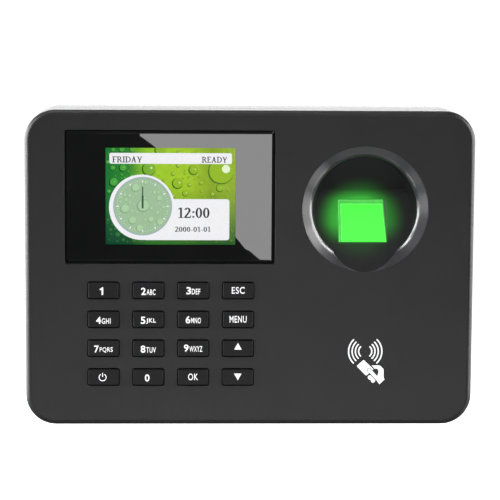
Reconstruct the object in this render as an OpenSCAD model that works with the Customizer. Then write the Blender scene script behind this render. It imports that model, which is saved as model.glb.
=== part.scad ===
// Fingerprint scanner terminal for a wall: display, keypad, finger recess with an optical
// reader behind it, card reader, loudspeaker, ports in the underside and a steel wall plate.
// Millimetres. The origin is the middle of the wall side. +X is to the right for someone
// facing the terminal, +Y goes into the wall, +Z is up. The face looks along -Y.

/* [Housing] */
// Width of the housing
body_w = 170; // [150:1:190]
// Height of the housing
body_h = 120; // [105:1:135]
// Depth from the wall to the face
body_d = 35; // [32:1:45]
// Radius of the outline's corners
corner_r = 11.5; // [8:0.5:18]
// Radius that rolls the face into the sides
edge_r = 1.6; // [0.8:0.1:2.4]
// Thickness of the face
face_t = 2.5; // [2:0.1:3.5]
// Thickness of the side walls
wall_t = 2.2; // [1.6:0.1:3]
// Depth of the front shell, from the face to the parting line
front_depth = 14; // [12:0.5:18]
// Width of the parting groove
groove = 0.6; // [0.3:0.1:1]

/* [Display] */
// Middle of the cover glass across the face
lens_x = -30.3; // [-40:0.1:-20]
// Middle of the cover glass up the face
lens_z = 27.2; // [20:0.1:32]
// Width of the pocket that holds the cover glass
lens_w = 79.4; // [60:0.1:90]
// Height of the pocket that holds the cover glass
lens_h = 50.6; // [40:0.1:60]
// Depth of the pocket
pocket_d = 1.6; // [1.2:0.1:2]
// Width of the picture area of the display
screen_w = 48.96; // [40:0.01:60]
// Height of the picture area of the display
screen_h = 36.72; // [30:0.01:45]

/* [Keypad] */
// Middle of the first key column
key_x0 = -55.45; // [-60:0.05:-50]
// Distance between key columns
key_dx = 17; // [15:0.1:19]
// Middle of the top key row
key_z0 = -8.2; // [-12:0.1:-6]
// Distance between key rows
key_dz = 11.08; // [9:0.01:13]
// Width of a key
key_w = 11.4; // [9:0.1:13]
// Height of a key
key_h = 6; // [5:0.1:8]
// Gap round a key
key_gap = 0.3; // [0.2:0.05:0.5]
// How far a key stands out of the face
key_proud = 0.9; // [0.8:0.1:1.5]

/* [Finger recess] */
// Middle of the recess across the face
recess_x = 43.5; // [35:0.1:50]
// Middle of the recess up the face
recess_z = 22.8; // [15:0.1:30]
// Radius of the recess at the face
recess_r = 23.9; // [20:0.1:26]
// Radius inside the bevelled rim
rim_r = 20.5; // [16:0.1:23]
// Depth of the bevelled rim
rim_d = 2.2; // [1.5:0.1:3]
// Depth of the fold where the roof meets the finger ramp
fold_d = 10; // [8:0.5:12]
// Height of the fold above the middle of the recess
fold_z = 6.5; // [4:0.1:9]
// Width of the reader's window
window_w = 18.4; // [14:0.1:22]
// Height of the reader's window, along the ramp
window_h = 16.8; // [14:0.1:20]

/* [Wall plate] */
// Width of the wall plate
plate_w = 100; // [80:1:120]
// Height of the wall plate
plate_h = 80; // [60:1:90]
// Thickness of the wall plate
plate_t = 1.2; // [0.8:0.1:1.6]
// Distance between the wall screws, across
hole_dx = 84; // [60:1:100]
// Distance between the wall screws, upright
hole_dz = 60; // [40:1:70]
// Radius of the wall screw holes
hole_r = 2.3; // [2:0.1:3]

/* [Hidden] */
$fn = 48;
skin = 0.05;
y_face = -body_d;
y_inside = y_face + face_t;
y_part = y_face + front_depth;
y_floor = y_face + pocket_d;
back_t = 2.4;
y_back = -back_t;
half_w = body_w / 2;
half_h = body_h / 2;
inner_r = corner_r - wall_t;
inner_w = body_w - 2 * wall_t;
inner_h = body_h - 2 * wall_t;

// Display stack, front to back
lens_clear = 0.2;
y_lens = y_face + 0.2;
y_lens_back = y_floor - 0.1;
bevel_w = 1.2;
bevel_d = 0.4;
lcd_x = -30.1;
lcd_z = 27.4;
lcd_w = 60.26;
lcd_h = 42.72;
y_panel = y_floor + 0.1;
y_light = y_panel + 1.2;
y_foam = y_light + 1.8;
opening_w = 72;
opening_h = 44;

// Boards
board_t = 1.6;
y_board = -28.4;
y_board_back = y_board + board_t;
board_left = -78;
board_right = 17;
board_half_h = 54;
notch_w = 6.2;
notch_h = 8;
board_holes = [[-75, 32], [-75, -32], [10, -50], [13.5, 45]];
board_boss_r = 2.6;
board_screw_r = 1.2;

// Keys
key_r = 0.5;
flange_over = 1.3;
flange_t = 1;
y_flange = y_inside + 0.1;
y_dome = y_flange + flange_t;
mat_t = 0.8;
y_mat = y_board - mat_t;
dome_r = 3.2;
dome_tip_r = 2.2;

// Case screws
case_x = 76.5;
case_z = 51;
case_boss_r = 3.4;
case_tube_r = 3.6;
case_screw_r = 1.45;
case_head_r = 2.7;
case_head_t = 2;
y_case_seat = y_part + 3;
y_case_end = y_part - 0.4;

// Finger ramp
ramp_rise = fold_z + recess_r;
ramp_angle = atan(fold_d / ramp_rise);
roof_run = (rim_r - fold_z) / (fold_d - rim_d);
cup_t = 2.2;
draft_end_d = 13;
draft_end_r = rim_r - (draft_end_d - rim_d) * 0.33;
cup_gap = 0.05;
cup_r0 = 25.4;
cup_r1 = 19;
cup_flange_r = 26.4;
cup_flange_t = 1.4;
window_x = 43;
window_z = 17.9;
window_d = (window_z - recess_z + recess_r) * fold_d / ramp_rise;
window_gap = 0.2;

// Optical reader, measured into the ramp from the ramp's surface
prism_out = 0.3;
prism_step = 3;
prism_back = 7.2;
prism_tail = 4.2;
y_gasket = cup_t * cos(ramp_angle) + 0.02;
gasket_t = 0.6;
y_case = y_gasket + gasket_t;
case_half_w = 12.2;
case_half_h = 10.8;
case_end = 17.5;
cavity_end = 8;
tube_r = 3.6;
ear_x = 14.5;
ear_half_h = 3;
y_ear = 6.05;
ear_t = 1.95;
reader_screw_r = 1;

// Card reader, ports and loudspeaker
card_x = 45;
card_z = -35;
card_w = 46;
card_h = 40;
port_y = -15.9;
io_y = port_y - board_t;
io_x0 = -54;
io_x1 = -10;
io_z0 = -57;
io_z1 = -36;
io_holes = [[-51, -39.5], [-12, -39.5]];
usb_x = -25;
usb_w = 13.1;
usb_t = 6.7;
usb_z0 = -59.2;
usb_len = 14;
jack_x = -43;
jack_w = 9;
jack_r = 2.9;
speaker_x = 65.5;
speaker_z = -36;
speaker_r = 13;
grille_r = 1;
grille_step = 4;

// Wall plate hooks and lock
recess_gap = 0.4;
plate_pocket = plate_t + 0.1;
pad_t = 1.3;
hook_x = 25;
hook_top = 26;
hook_low = -24;
hook_half_w = 4;
hook_rise = 3.4;
y_lip = -(plate_pocket + back_t + skin);
tongue_half_w = 7;
tongue_z = -53.3;
tab_depth = 9;
lock_y = -6;
lock_r = 1.45;
lock_head_r = 2.85;
lock_head_t = 1.5;

// The piece to draw, or all of them

// Flat shape in X and Z, given a thickness from y0 back to y1
module slab(y0, y1) {
    translate([0, y1, 0])
        rotate([90, 0, 0])
            linear_extrude(y1 - y0) children();
}

// Round bar along Y
module rod_y(x, z, r, y0, y1) {
    translate([x, y1, z]) rotate([90, 0, 0]) cylinder(r = r, h = y1 - y0);
}

// Tapered round bar along Y
module cone_y(x, z, r0, r1, y0, y1) {
    translate([x, y1, z]) rotate([90, 0, 0]) cylinder(r1 = r1, r2 = r0, h = y1 - y0);
}

// Block between two opposite corners
module block(a, b) {
    translate(a) cube(b - a);
}

module round_rect(w, h, r) {
    square([w - 2 * r, h], center = true);
    square([w, h - 2 * r], center = true);
    for (sx = [-1, 1], sz = [-1, 1])
        translate([sx * (w / 2 - r), sz * (h / 2 - r)]) circle(r);
}

// Section through the rolled edge, from the corner's axis outwards
module edge_section(depth) {
    square([corner_r - edge_r, depth]);
    square([corner_r, depth - edge_r]);
    translate([corner_r - edge_r, depth - edge_r]) circle(edge_r);
}

// Housing outline with a rolled edge at the far end, standing on the XY plane
module housing_block(depth) {
    cx = half_w - corner_r;
    cz = half_h - corner_r;
    translate([-cx, -cz, 0]) cube([2 * cx, 2 * cz, depth]);
    for (k = [0:3]) {
        across = k % 2 == 0 ? cx : cz;
        along = k % 2 == 0 ? cz : cx;
        rotate([0, 0, 90 * k]) {
            translate([across, along, 0]) rotate([90, 0, 0])
                linear_extrude(2 * along) edge_section(depth);
            translate([across, along, 0]) rotate_extrude(angle = 90) edge_section(depth);
        }
    }
}

// Half plane pair that forms the finger ramp and the roof over it
module ramp_wedge(shift) {
    reach = 1;
    translate([recess_x - 30, y_face + shift, recess_z])
        rotate([90, 0, 90])
            linear_extrude(60)
                polygon([
                    [-reach, -recess_r - reach * ramp_rise / fold_d],
                    [fold_d, fold_z],
                    [-reach, rim_r + (rim_d + reach) * roof_run]
                ]);
}

module recess_space() {
    intersection() {
        ramp_wedge(0);
        union() {
            rod_y(recess_x, recess_z, recess_r, y_face - 1, y_face);
            cone_y(recess_x, recess_z, recess_r, rim_r, y_face, y_face + rim_d);
            cone_y(recess_x, recess_z, rim_r, draft_end_r, y_face + rim_d, y_face + draft_end_d);
        }
    }
}

// Moves a piece into the reader's own frame: +Y into the ramp, +Z up the ramp
module on_ramp() {
    translate([window_x, y_face + window_d, window_z])
        rotate([-ramp_angle, 0, 0]) children();
}

module key_outline(grow) {
    round_rect(key_w + 2 * grow, key_h + 2 * grow, key_r + grow);
}

module at_key(col, row) {
    translate([key_x0 + col * key_dx, 0, key_z0 - row * key_dz]) children();
}

module at_case_screws() {
    for (sx = [-1, 1], sz = [-1, 1])
        translate([sx * case_x, 0, sz * case_z]) children();
}

module front_shell() {
    color([0.045, 0.045, 0.048])
    difference() {
        union() {
            difference() {
                translate([0, y_part, 0]) rotate([90, 0, 0]) housing_block(front_depth);
                slab(y_inside, y_part + 1) round_rect(inner_w, inner_h, inner_r);
            }
            at_case_screws() rod_y(0, 0, case_boss_r, y_inside - 0.2, y_case_end);
            for (p = board_holes)
                rod_y(p[0], p[1], board_boss_r, y_inside - 0.2, y_board);
            for (sx = [-1, 1], sz = [-1, 1])
                rod_y(card_x + sx * 18, card_z + sz * 16, 1.5, y_inside - 0.2, -31.95);
        }
        rod_y(recess_x, recess_z, recess_r + cup_gap, y_face - 1, y_inside + 1);
        // pocket for the cover glass and the opening in its ledge
        slab(y_face - 1, y_floor)
            translate([lens_x, lens_z]) round_rect(lens_w, lens_h, 0.8);
        slab(y_floor - 1, y_inside + 1)
            translate([lens_x, lens_z]) square([opening_w, opening_h], center = true);
        for (col = [0:3], row = [0:3])
            at_key(col, row) slab(y_face - 1, y_inside + 1) key_outline(key_gap);
        at_case_screws() rod_y(0, 0, case_screw_r + skin, y_inside + 2, y_case_end + 1);
        for (p = board_holes)
            rod_y(p[0], p[1], board_screw_r + skin, y_inside + 0.4, y_board + 1);
    }
}

// Moulding with the bevelled rim, drafted wall, roof and finger ramp, glued in from behind
module finger_cup() {
    color([0.035, 0.035, 0.035])
    difference() {
        union() {
            rod_y(recess_x, recess_z, recess_r, y_face, y_inside + 0.2);
            rod_y(recess_x, recess_z, cup_flange_r, y_inside, y_inside + cup_flange_t);
            intersection() {
                ramp_wedge(cup_t);
                cone_y(recess_x, recess_z, cup_r0, cup_r1, y_inside, y_face + draft_end_d);
            }
            for (sx = [-1, 1])
                on_ramp() rod_y(sx * ear_x, 0, 2.4, 1, y_ear - skin);
        }
        recess_space();
        on_ramp()
            block([-window_w / 2 - window_gap, -2, -window_h / 2 - window_gap],
                  [window_w / 2 + window_gap, 3, window_h / 2 + window_gap]);
        for (sx = [-1, 1])
            on_ramp() rod_y(sx * ear_x, 0, reader_screw_r + skin, 3, y_ear + 1);
    }
}

// Slots in the back wall that the wall plate's hooks pass through
module hook_slots(y0, y1) {
    for (sx = [-1, 1], z = [hook_top, hook_low])
        block([sx * hook_x - hook_half_w - 0.4, y0, z - hook_rise],
              [sx * hook_x + hook_half_w + 0.4, y1, z + plate_t + 0.1]);
    block([-tongue_half_w - recess_gap, y0, tongue_z - 4.1],
          [tongue_half_w + recess_gap, y1, tongue_z + plate_t + 0.4]);
}

module rear_shell() {
    color([0.045, 0.045, 0.048])
    difference() {
        union() {
            difference() {
                union() {
                    translate([0, y_part + groove, 0])
                        rotate([-90, 0, 0]) housing_block(body_d - front_depth - groove);
                    slab(y_part - 1.4, y_part + groove + 1)
                        round_rect(inner_w - 0.2, inner_h - 0.2, inner_r - 0.1);
                }
                slab(y_part - 2, y_part + groove + 2)
                    round_rect(inner_w - 2.6, inner_h - 2.6, inner_r - 1.3);
                slab(y_part + groove + 1, y_back) round_rect(inner_w, inner_h, inner_r);
            }
            // pad that backs the wall plate's pocket
            slab(y_back - pad_t, y_back + 0.2)
                square([plate_w + 4, plate_h + 4], center = true);
            slab(y_back - pad_t, y_back + 0.2)
                translate([0, -49]) square([2 * tongue_half_w + 4, 18], center = true);
            at_case_screws() rod_y(0, 0, case_tube_r, y_case_end + skin, y_back + 0.2);
            difference() {
                rod_y(speaker_x, speaker_z, speaker_r + 1.7, -7, y_back + 0.2);
                rod_y(speaker_x, speaker_z, speaker_r + 0.2, -8, y_back);
            }
            for (p = io_holes)
                rod_y(p[0], p[1], 2.4, port_y, y_back);
        }
        // pocket for the wall plate
        slab(-plate_pocket, 1)
            round_rect(plate_w + 2 * recess_gap, plate_h + 2 * recess_gap, 3.4);
        block([-tongue_half_w - recess_gap, -plate_pocket, tongue_z - 4.1],
              [tongue_half_w + recess_gap, 1, -30]);
        hook_slots(-6, 0);
        at_case_screws() {
            rod_y(0, 0, case_screw_r + 0.25, y_case_end - 1, 1);
            rod_y(0, 0, case_head_r + 0.3, y_case_seat, 1);
        }
        for (p = io_holes)
            rod_y(p[0], p[1], 1.05, port_y - 1, port_y + 8);
        // port openings and the lock screw's countersink in the underside
        block([usb_x - usb_w / 2 - 0.4, port_y - 0.4, -half_h - 1],
              [usb_x + usb_w / 2 + 0.4, port_y + usb_t + 0.4, -inner_h / 2 + 1]);
        translate([jack_x, port_y + jack_w / 2, -half_h - 1]) cylinder(r = 3.9, h = 5);
        translate([0, lock_y, -half_h - 1]) cylinder(r = lock_r + 0.25, h = 5);
        translate([0, lock_y, -half_h])
            cylinder(r1 = lock_head_r + 0.2, r2 = lock_r + 0.2, h = lock_head_t + 0.1);
        // loudspeaker grille
        for (i = [-2:2], j = [-2:2])
            if (abs(i) + abs(j) < 4)
                rod_y(speaker_x + i * grille_step, speaker_z + j * grille_step, grille_r,
                      y_back - 1, 1);
    }
}

module display_lens() {
    w = lens_w - 2 * lens_clear;
    h = lens_h - 2 * lens_clear;
    t = y_lens_back - y_lens;
    color([0.01, 0.01, 0.012])
    translate([lens_x, y_lens_back, lens_z])
    intersection() {
        rotate([90, 0, 0]) linear_extrude(t) round_rect(w, h, 0.7);
        translate([0, 0, -h]) linear_extrude(2 * h)
            polygon([[-w / 2, 1], [-w / 2, bevel_d - t], [bevel_w - w / 2, -t],
                     [w / 2 - bevel_w, -t], [w / 2, bevel_d - t], [w / 2, 1]]);
        rotate([0, 90, 0]) translate([0, 0, -w]) linear_extrude(2 * w)
            polygon([[-h / 2, 1], [-h / 2, bevel_d - t], [bevel_w - h / 2, -t],
                     [h / 2 - bevel_w, -t], [h / 2, bevel_d - t], [h / 2, 1]]);
    }
}

module lens_tape() {
    color([0.02, 0.02, 0.02])
    slab(y_lens_back, y_floor) translate([lens_x, lens_z]) difference() {
        square([lens_w - 1.4, lens_h - 1.4], center = true);
        square([opening_w + 0.8, opening_h + 0.8], center = true);
    }
}

module lcd_panel() {
    color([0.10, 0.16, 0.10])
    slab(y_panel, y_light) translate([lcd_x, lcd_z]) square([lcd_w - 1, lcd_h - 1], center = true);
}

// Moulded tray with the light guide, wrapped round the panel's edge
module lcd_backlight() {
    color([0.75, 0.75, 0.76])
    difference() {
        slab(y_panel + 0.1, y_foam) translate([lcd_x, lcd_z]) square([lcd_w, lcd_h], center = true);
        slab(y_panel - 1, y_light)
            translate([lcd_x, lcd_z]) square([lcd_w - 0.9, lcd_h - 0.9], center = true);
    }
}

module lcd_foam() {
    color([0.12, 0.12, 0.12])
    slab(y_foam, y_board) translate([lcd_x, lcd_z]) difference() {
        square([lcd_w - 4, lcd_h - 4], center = true);
        square([lcd_w - 20, lcd_h - 20], center = true);
    }
}

// Flat tail of the display, folded back to its connector on the board
module lcd_flex() {
    z_top = lcd_z - lcd_h / 2;
    color([0.55, 0.33, 0.08])
    union() {
        block([lcd_x - 10, -31.4, z_top - 2.4], [lcd_x + 10, -31.2, z_top]);
        block([lcd_x - 10, -31.4, z_top - 2.6], [lcd_x + 10, -29.3, z_top - 2.4]);
    }
}

// Silicone sheet with a hollow dome under each key
module keypad_mat() {
    x0 = key_x0 - 7.6;
    x1 = key_x0 + 3 * key_dx + 7.6;
    z0 = key_z0 - 3 * key_dz - 5.4;
    z1 = key_z0 + 5.4;
    color([0.55, 0.56, 0.58])
    difference() {
        union() {
            block([x0, y_mat, z0], [x1, y_board, z1]);
            for (col = [0:3], row = [0:3])
                at_key(col, row) cone_y(0, 0, dome_tip_r, dome_r, y_dome, y_mat + 0.2);
        }
        for (col = [0:3], row = [0:3])
            at_key(col, row) cone_y(0, 0, dome_tip_r - 0.7, dome_r - 0.7, y_dome + 1, y_board + 0.01);
    }
}

module contact_pads() {
    color([0.75, 0.58, 0.22])
    for (col = [0:3], row = [0:3])
        at_key(col, row) rod_y(0, 0, 1.8, y_board - 0.1, y_board);
}

// Key with the flange that keeps it behind the face
module key_piece(col, row) {
    color([0.03, 0.03, 0.033])
    at_key(col, row) {
        slab(y_face - key_proud, y_flange + 0.1) key_outline(0);
        slab(y_flange, y_dome)
            square([key_w + 2 * flange_over, key_h + 2 * flange_over], center = true);
    }
}

module key_1() { key_piece(0, 0); }
module key_2() { key_piece(1, 0); }
module key_3() { key_piece(2, 0); }
module key_esc() { key_piece(3, 0); }
module key_4() { key_piece(0, 1); }
module key_5() { key_piece(1, 1); }
module key_6() { key_piece(2, 1); }
module key_menu() { key_piece(3, 1); }
module key_7() { key_piece(0, 2); }
module key_8() { key_piece(1, 2); }
module key_9() { key_piece(2, 2); }
module key_up() { key_piece(3, 2); }
module key_power() { key_piece(0, 3); }
module key_0() { key_piece(1, 3); }
module key_ok() { key_piece(2, 3); }
module key_down() { key_piece(3, 3); }

module main_board() {
    color([0.03, 0.22, 0.10])
    difference() {
        block([board_left, y_board, -board_half_h], [board_right, y_board_back, board_half_h]);
        for (sz = [-1, 1])
            translate([board_left - 1, y_board - 1, sz > 0 ? board_half_h - notch_h : -board_half_h - 1])
                cube([notch_w + 1, board_t + 2, notch_h + 1]);
        for (p = board_holes)
            rod_y(p[0], p[1], board_screw_r + 0.3, y_board - 1, y_board_back + 1);
    }
}

module processor() {
    color([0.04, 0.04, 0.045])
    block([-34, y_board_back, 8], [-20, y_board_back + 1.2, 22]);
}

module memory_chips() {
    color([0.04, 0.04, 0.045]) {
        block([-10, y_board_back, 8], [2, y_board_back + 1, 20]);
        block([-34, y_board_back, 30], [-22, y_board_back + 1, 38]);
    }
}

// Holder for the clock's coin cell
module coin_holder() {
    color([0.06, 0.06, 0.06])
    difference() {
        block([-66, y_board_back, 2], [-43, y_board_back + 4.6, 25]);
        rod_y(-54.5, 13.5, 10.15, y_board_back + 0.8, y_board_back + 6);
    }
}

module coin_cell() {
    color([0.70, 0.70, 0.72])
    rod_y(-54.5, 13.5, 10, y_board_back + 0.85, y_board_back + 4.05);
}

module capacitors() {
    color([0.10, 0.12, 0.30])
    for (p = [[-62, -20], [-52, -20], [-12, -14]])
        rod_y(p[0], p[1], 3.2, y_board_back, y_board_back + 4.6);
}

// White wire connectors on the back of the board, and the display's flat one on its front
module board_connectors() {
    color([0.85, 0.84, 0.80]) {
        block([6, y_board_back, 6], [15, y_board_back + 2, 18]);
        block([3, y_board_back, -40], [12, y_board_back + 2, -32]);
        block([-16, y_board_back, 34], [-4, y_board_back + 2, 40]);
        block([lcd_x - 11, -29.9, 1.2], [lcd_x + 11, y_board, 3.4]);
    }
}

module pan_screw(head_r, head_t, shank_r, seat, tip) {
    rod_y(0, 0, head_r, seat, seat + head_t);
    rod_y(0, 0, shank_r, tip, seat + 0.2);
}

module board_screws() {
    color([0.60, 0.60, 0.62])
    for (p = board_holes)
        translate([p[0], 0, p[1]])
            pan_screw(2.2, 1.4, board_screw_r, y_board_back, y_inside + 1);
}

// Optical block the finger rests on
module sensor_prism() {
    hh = window_h / 2;
    color([0.30, 0.95, 0.30])
    on_ramp()
        translate([-window_w / 2, 0, 0]) rotate([90, 0, 90]) linear_extrude(window_w)
            polygon([[-prism_out, -hh], [prism_step, -hh], [prism_back, -prism_tail],
                     [prism_back, prism_tail], [prism_step, hh], [-prism_out, hh]]);
}

module sensor_gasket() {
    color([0.03, 0.03, 0.03])
    on_ramp() difference() {
        block([-11.2, y_gasket, -10.2], [11.2, y_case, 10.2]);
        block([-window_w / 2 - 0.1, 0, -window_h / 2 - 0.1],
              [window_w / 2 + 0.1, 4, window_h / 2 + 0.1]);
    }
}

module sensor_housing() {
    color([0.05, 0.05, 0.055])
    on_ramp() difference() {
        union() {
            block([-case_half_w, y_case, -case_half_h], [case_half_w, case_end, case_half_h]);
            block([-ear_x - 2.6, y_ear, -ear_half_h], [ear_x + 2.6, y_ear + ear_t, ear_half_h]);
        }
        block([-window_w / 2 - 0.2, y_case - 1, -window_h / 2 - 0.2],
              [window_w / 2 + 0.2, cavity_end, window_h / 2 + 0.2]);
        rod_y(0, 0, tube_r, cavity_end - 1, case_end + 1);
        for (sx = [-1, 1])
            rod_y(sx * ear_x, 0, reader_screw_r + 0.2, y_ear - 1, y_ear + ear_t + 1);
    }
}

module led_board() {
    color([0.85, 0.85, 0.82])
    on_ramp() block([-9, 4.4, -8.55], [9, 7.9, -7.95]);
}

module green_leds() {
    color([0.35, 1.0, 0.35])
    on_ramp() for (i = [-1.5:1.5])
        block([i * 4.4 - 0.8, 5.4, -7.95], [i * 4.4 + 0.8, 7, -7.1]);
}

module lens_barrel() {
    color([0.02, 0.02, 0.02])
    on_ramp() difference() {
        rod_y(0, 0, tube_r - 0.1, 9.5, 15);
        rod_y(0, 0, 2, 9, 10.4);
    }
}

module image_board() {
    color([0.02, 0.16, 0.28])
    on_ramp() {
        block([-12, case_end, -10.5], [12, case_end + 1.2, 10.5]);
        block([-11, case_end + 1.1, -4], [-3, case_end + 3, 4]);
    }
}

module image_chip() {
    color([0.10, 0.10, 0.12])
    on_ramp() block([-2.4, case_end - 1, -2.4], [2.4, case_end, 2.4]);
}

module sensor_screws() {
    color([0.60, 0.60, 0.62])
    for (sx = [-1, 1])
        on_ramp() translate([sx * ear_x, 0, 0])
            pan_screw(1.9, 1.3, reader_screw_r, y_ear + ear_t, 3.2);
}

// Wire that runs along X at depth y1 from x1 back to x0, and there bends towards y0
module bent_wire(x0, x1, y0, y1, z, r, bend) {
    translate([x0 + bend, y1, z]) rotate([0, 90, 0]) cylinder(r = r, h = x1 - x0 - bend);
    translate([x0 + bend, y1 - bend, z]) rotate([0, 0, 90])
        rotate_extrude(angle = 90) translate([bend, 0]) circle(r);
    rod_y(x0, z, r, y0, y1 - bend);
}

// Cable from the reader to the main board
module sensor_cable() {
    level = case_end + 2.2;
    y1 = y_face + window_d + level * cos(ramp_angle);
    z = window_z - level * sin(ramp_angle);
    color([0.10, 0.10, 0.10])
    bent_wire(11, window_x - 11.05, y_board_back + 2, y1, z, 0.9, 3);
}

module rfid_board() {
    color([0.03, 0.22, 0.10])
    block([card_x - card_w / 2, -31.95, card_z - card_h / 2],
          [card_x + card_w / 2, -30.95, card_z + card_h / 2]);
}

// Copper turns of the card antenna
module rfid_coil() {
    color([0.80, 0.42, 0.20])
    slab(-30.95, -30.75) translate([card_x, card_z])
        for (i = [0:3]) difference() {
            square([card_w - 3 - 3 * i, card_h - 3 - 3 * i], center = true);
            square([card_w - 4.6 - 3 * i, card_h - 4.6 - 3 * i], center = true);
        }
}

module speaker_frame() {
    color([0.55, 0.55, 0.56])
    difference() {
        union() {
            rod_y(speaker_x, speaker_z, speaker_r, -4.4, y_back - skin);
            cone_y(speaker_x, speaker_z, 8.6, 12, -9, -4.2);
        }
        cone_y(speaker_x, speaker_z, 7.6, 11, -8.4, -4.4);
        rod_y(speaker_x, speaker_z, 11, -4.45, 0);
    }
}

module speaker_cone() {
    color([0.10, 0.10, 0.10])
    difference() {
        cone_y(speaker_x, speaker_z, 3, 10.6, -7.4, -3.6);
        cone_y(speaker_x, speaker_z, 2.6, 10.2, -6.9, -3.1);
    }
}

module speaker_magnet() {
    color([0.35, 0.35, 0.36])
    rod_y(speaker_x, speaker_z, 7.5, -12.2, -9);
}

// Two wires from the loudspeaker to the main board
module speaker_wires() {
    color([0.55, 0.05, 0.05])
    for (dz = [0, 2.4])
        bent_wire(8, speaker_x - 7.7, y_board_back + 2, -10.5, speaker_z - 1.2 + dz, 0.6, 3);
}

module io_board() {
    color([0.03, 0.22, 0.10])
    difference() {
        block([io_x0, io_y, io_z0], [io_x1, port_y, io_z1]);
        for (p = io_holes)
            rod_y(p[0], p[1], 1.3, io_y - 1, port_y + 1);
    }
}

// Socket with its mouth in the underside
module usb_port() {
    color([0.72, 0.72, 0.74])
    translate([usb_x, port_y, usb_z0]) {
        difference() {
            block([-usb_w / 2, 0, 0], [usb_w / 2, usb_t, usb_len]);
            block([-usb_w / 2 + 0.4, 0.6, -1], [usb_w / 2 - 0.4, usb_t - 0.6, usb_len - 3]);
        }
        block([-5.5, 3.6, 1.6], [5.5, 5.3, usb_len - 3]);
    }
}

module dc_jack() {
    color([0.05, 0.05, 0.05])
    translate([jack_x, port_y + jack_w / 2, -59.4]) {
        difference() {
            union() {
                translate([-jack_w / 2, -jack_w / 2, 2.2]) cube([jack_w, jack_w, 12]);
                cylinder(r = 3.7, h = 3);
            }
            translate([0, 0, -1]) cylinder(r = jack_r, h = 11);
        }
        translate([0, 0, 1]) cylinder(r = 1, h = 9);
    }
}

// Pin header that joins the port board to the main board when the shells close
module header_strip() {
    color([0.06, 0.06, 0.06])
    block([-40, y_board_back, -48], [-20, io_y, -45.5]);
}

module io_screws() {
    color([0.60, 0.60, 0.62])
    for (p = io_holes) {
        rod_y(p[0], p[1], 1.9, io_y - 1.3, io_y);
        rod_y(p[0], p[1], 1, io_y - 0.2, port_y + 6);
    }
}

module case_screws() {
    color([0.30, 0.30, 0.32])
    at_case_screws()
        pan_screw(case_head_r, case_head_t, case_screw_r, y_case_seat, y_inside + 3);
}

// Pressed steel plate that stays on the wall, with four hooks and a locking tab
module wall_plate() {
    color([0.62, 0.63, 0.65])
    difference() {
        union() {
            slab(-plate_t, 0) round_rect(plate_w, plate_h, 3);
            for (sx = [-1, 1], z = [hook_top, hook_low]) {
                block([sx * hook_x - hook_half_w, y_lip - plate_t, z],
                      [sx * hook_x + hook_half_w, -0.2, z + plate_t]);
                block([sx * hook_x - hook_half_w, y_lip - plate_t, z],
                      [sx * hook_x + hook_half_w, y_lip, z + plate_t + hook_rise]);
            }
            block([-tongue_half_w, -plate_t, tongue_z], [tongue_half_w, 0, -30]);
            block([-tongue_half_w, -tab_depth, tongue_z],
                  [tongue_half_w, -0.2, tongue_z + plate_t]);
        }
        for (sx = [-1, 1], sz = [-1, 1])
            rod_y(sx * hole_dx / 2, sz * hole_dz / 2, hole_r, -3, 1);
        translate([0, lock_y, tongue_z - 1]) cylinder(r = lock_r + skin, h = 4);
    }
}

module lock_screw() {
    color([0.30, 0.30, 0.32])
    translate([0, lock_y, -half_h]) {
        cylinder(r1 = lock_head_r, r2 = lock_r, h = lock_head_t);
        translate([0, 0, lock_head_t - 0.1]) cylinder(r = lock_r, h = 8.6);
    }
}

front_shell();
finger_cup();
rear_shell();
display_lens();
lens_tape();
lcd_panel();
lcd_backlight();
lcd_foam();
lcd_flex();
keypad_mat();
contact_pads();
key_1();
key_2();
key_3();
key_esc();
key_4();
key_5();
key_6();
key_menu();
key_7();
key_8();
key_9();
key_up();
key_power();
key_0();
key_ok();
key_down();
main_board();
processor();
memory_chips();
coin_holder();
coin_cell();
capacitors();
board_connectors();
board_screws();
sensor_prism();
sensor_gasket();
sensor_housing();
led_board();
green_leds();
lens_barrel();
image_board();
image_chip();
sensor_screws();
sensor_cable();
rfid_board();
rfid_coil();
speaker_frame();
speaker_cone();
speaker_magnet();
speaker_wires();
io_board();
usb_port();
dc_jack();
header_strip();
io_screws();
case_screws();
wall_plate();
lock_screw();
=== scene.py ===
import math
import random
import bmesh
import bpy
from mathutils import Matrix, Vector
from mathutils.geometry import delaunay_2d_cdt


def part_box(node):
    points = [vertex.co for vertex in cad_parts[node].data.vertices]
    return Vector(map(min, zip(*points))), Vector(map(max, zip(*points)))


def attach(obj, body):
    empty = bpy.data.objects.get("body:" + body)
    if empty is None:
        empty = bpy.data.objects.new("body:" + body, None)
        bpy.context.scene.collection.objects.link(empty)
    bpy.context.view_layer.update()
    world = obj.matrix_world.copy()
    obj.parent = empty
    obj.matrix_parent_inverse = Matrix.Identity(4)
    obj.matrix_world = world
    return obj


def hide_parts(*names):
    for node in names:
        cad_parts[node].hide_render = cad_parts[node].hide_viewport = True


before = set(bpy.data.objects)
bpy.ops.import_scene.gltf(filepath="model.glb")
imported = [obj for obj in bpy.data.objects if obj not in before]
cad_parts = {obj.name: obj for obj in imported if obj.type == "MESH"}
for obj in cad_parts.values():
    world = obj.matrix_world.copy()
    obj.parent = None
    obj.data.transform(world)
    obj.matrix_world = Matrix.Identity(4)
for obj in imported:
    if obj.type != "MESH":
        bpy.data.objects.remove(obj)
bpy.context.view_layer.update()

# ---- Front shell -------------------------------------------------------------------------
# One ABS moulding with a spark-grained face, a rolled edge all round, a pocket for the cover
# glass, sixteen key holes and the round opening of the finger cup. Bosses inside take the
# case screws, the board screws and the card reader.
mm = 0.001
shell_low, shell_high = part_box("front_shell")
face_y = shell_low.y
parting_y = shell_high.y
inside_y = face_y + 2.5 * mm
shell_w = shell_high.x - shell_low.x
shell_h = shell_high.z - shell_low.z
corner_radius = 11.5 * mm
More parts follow.
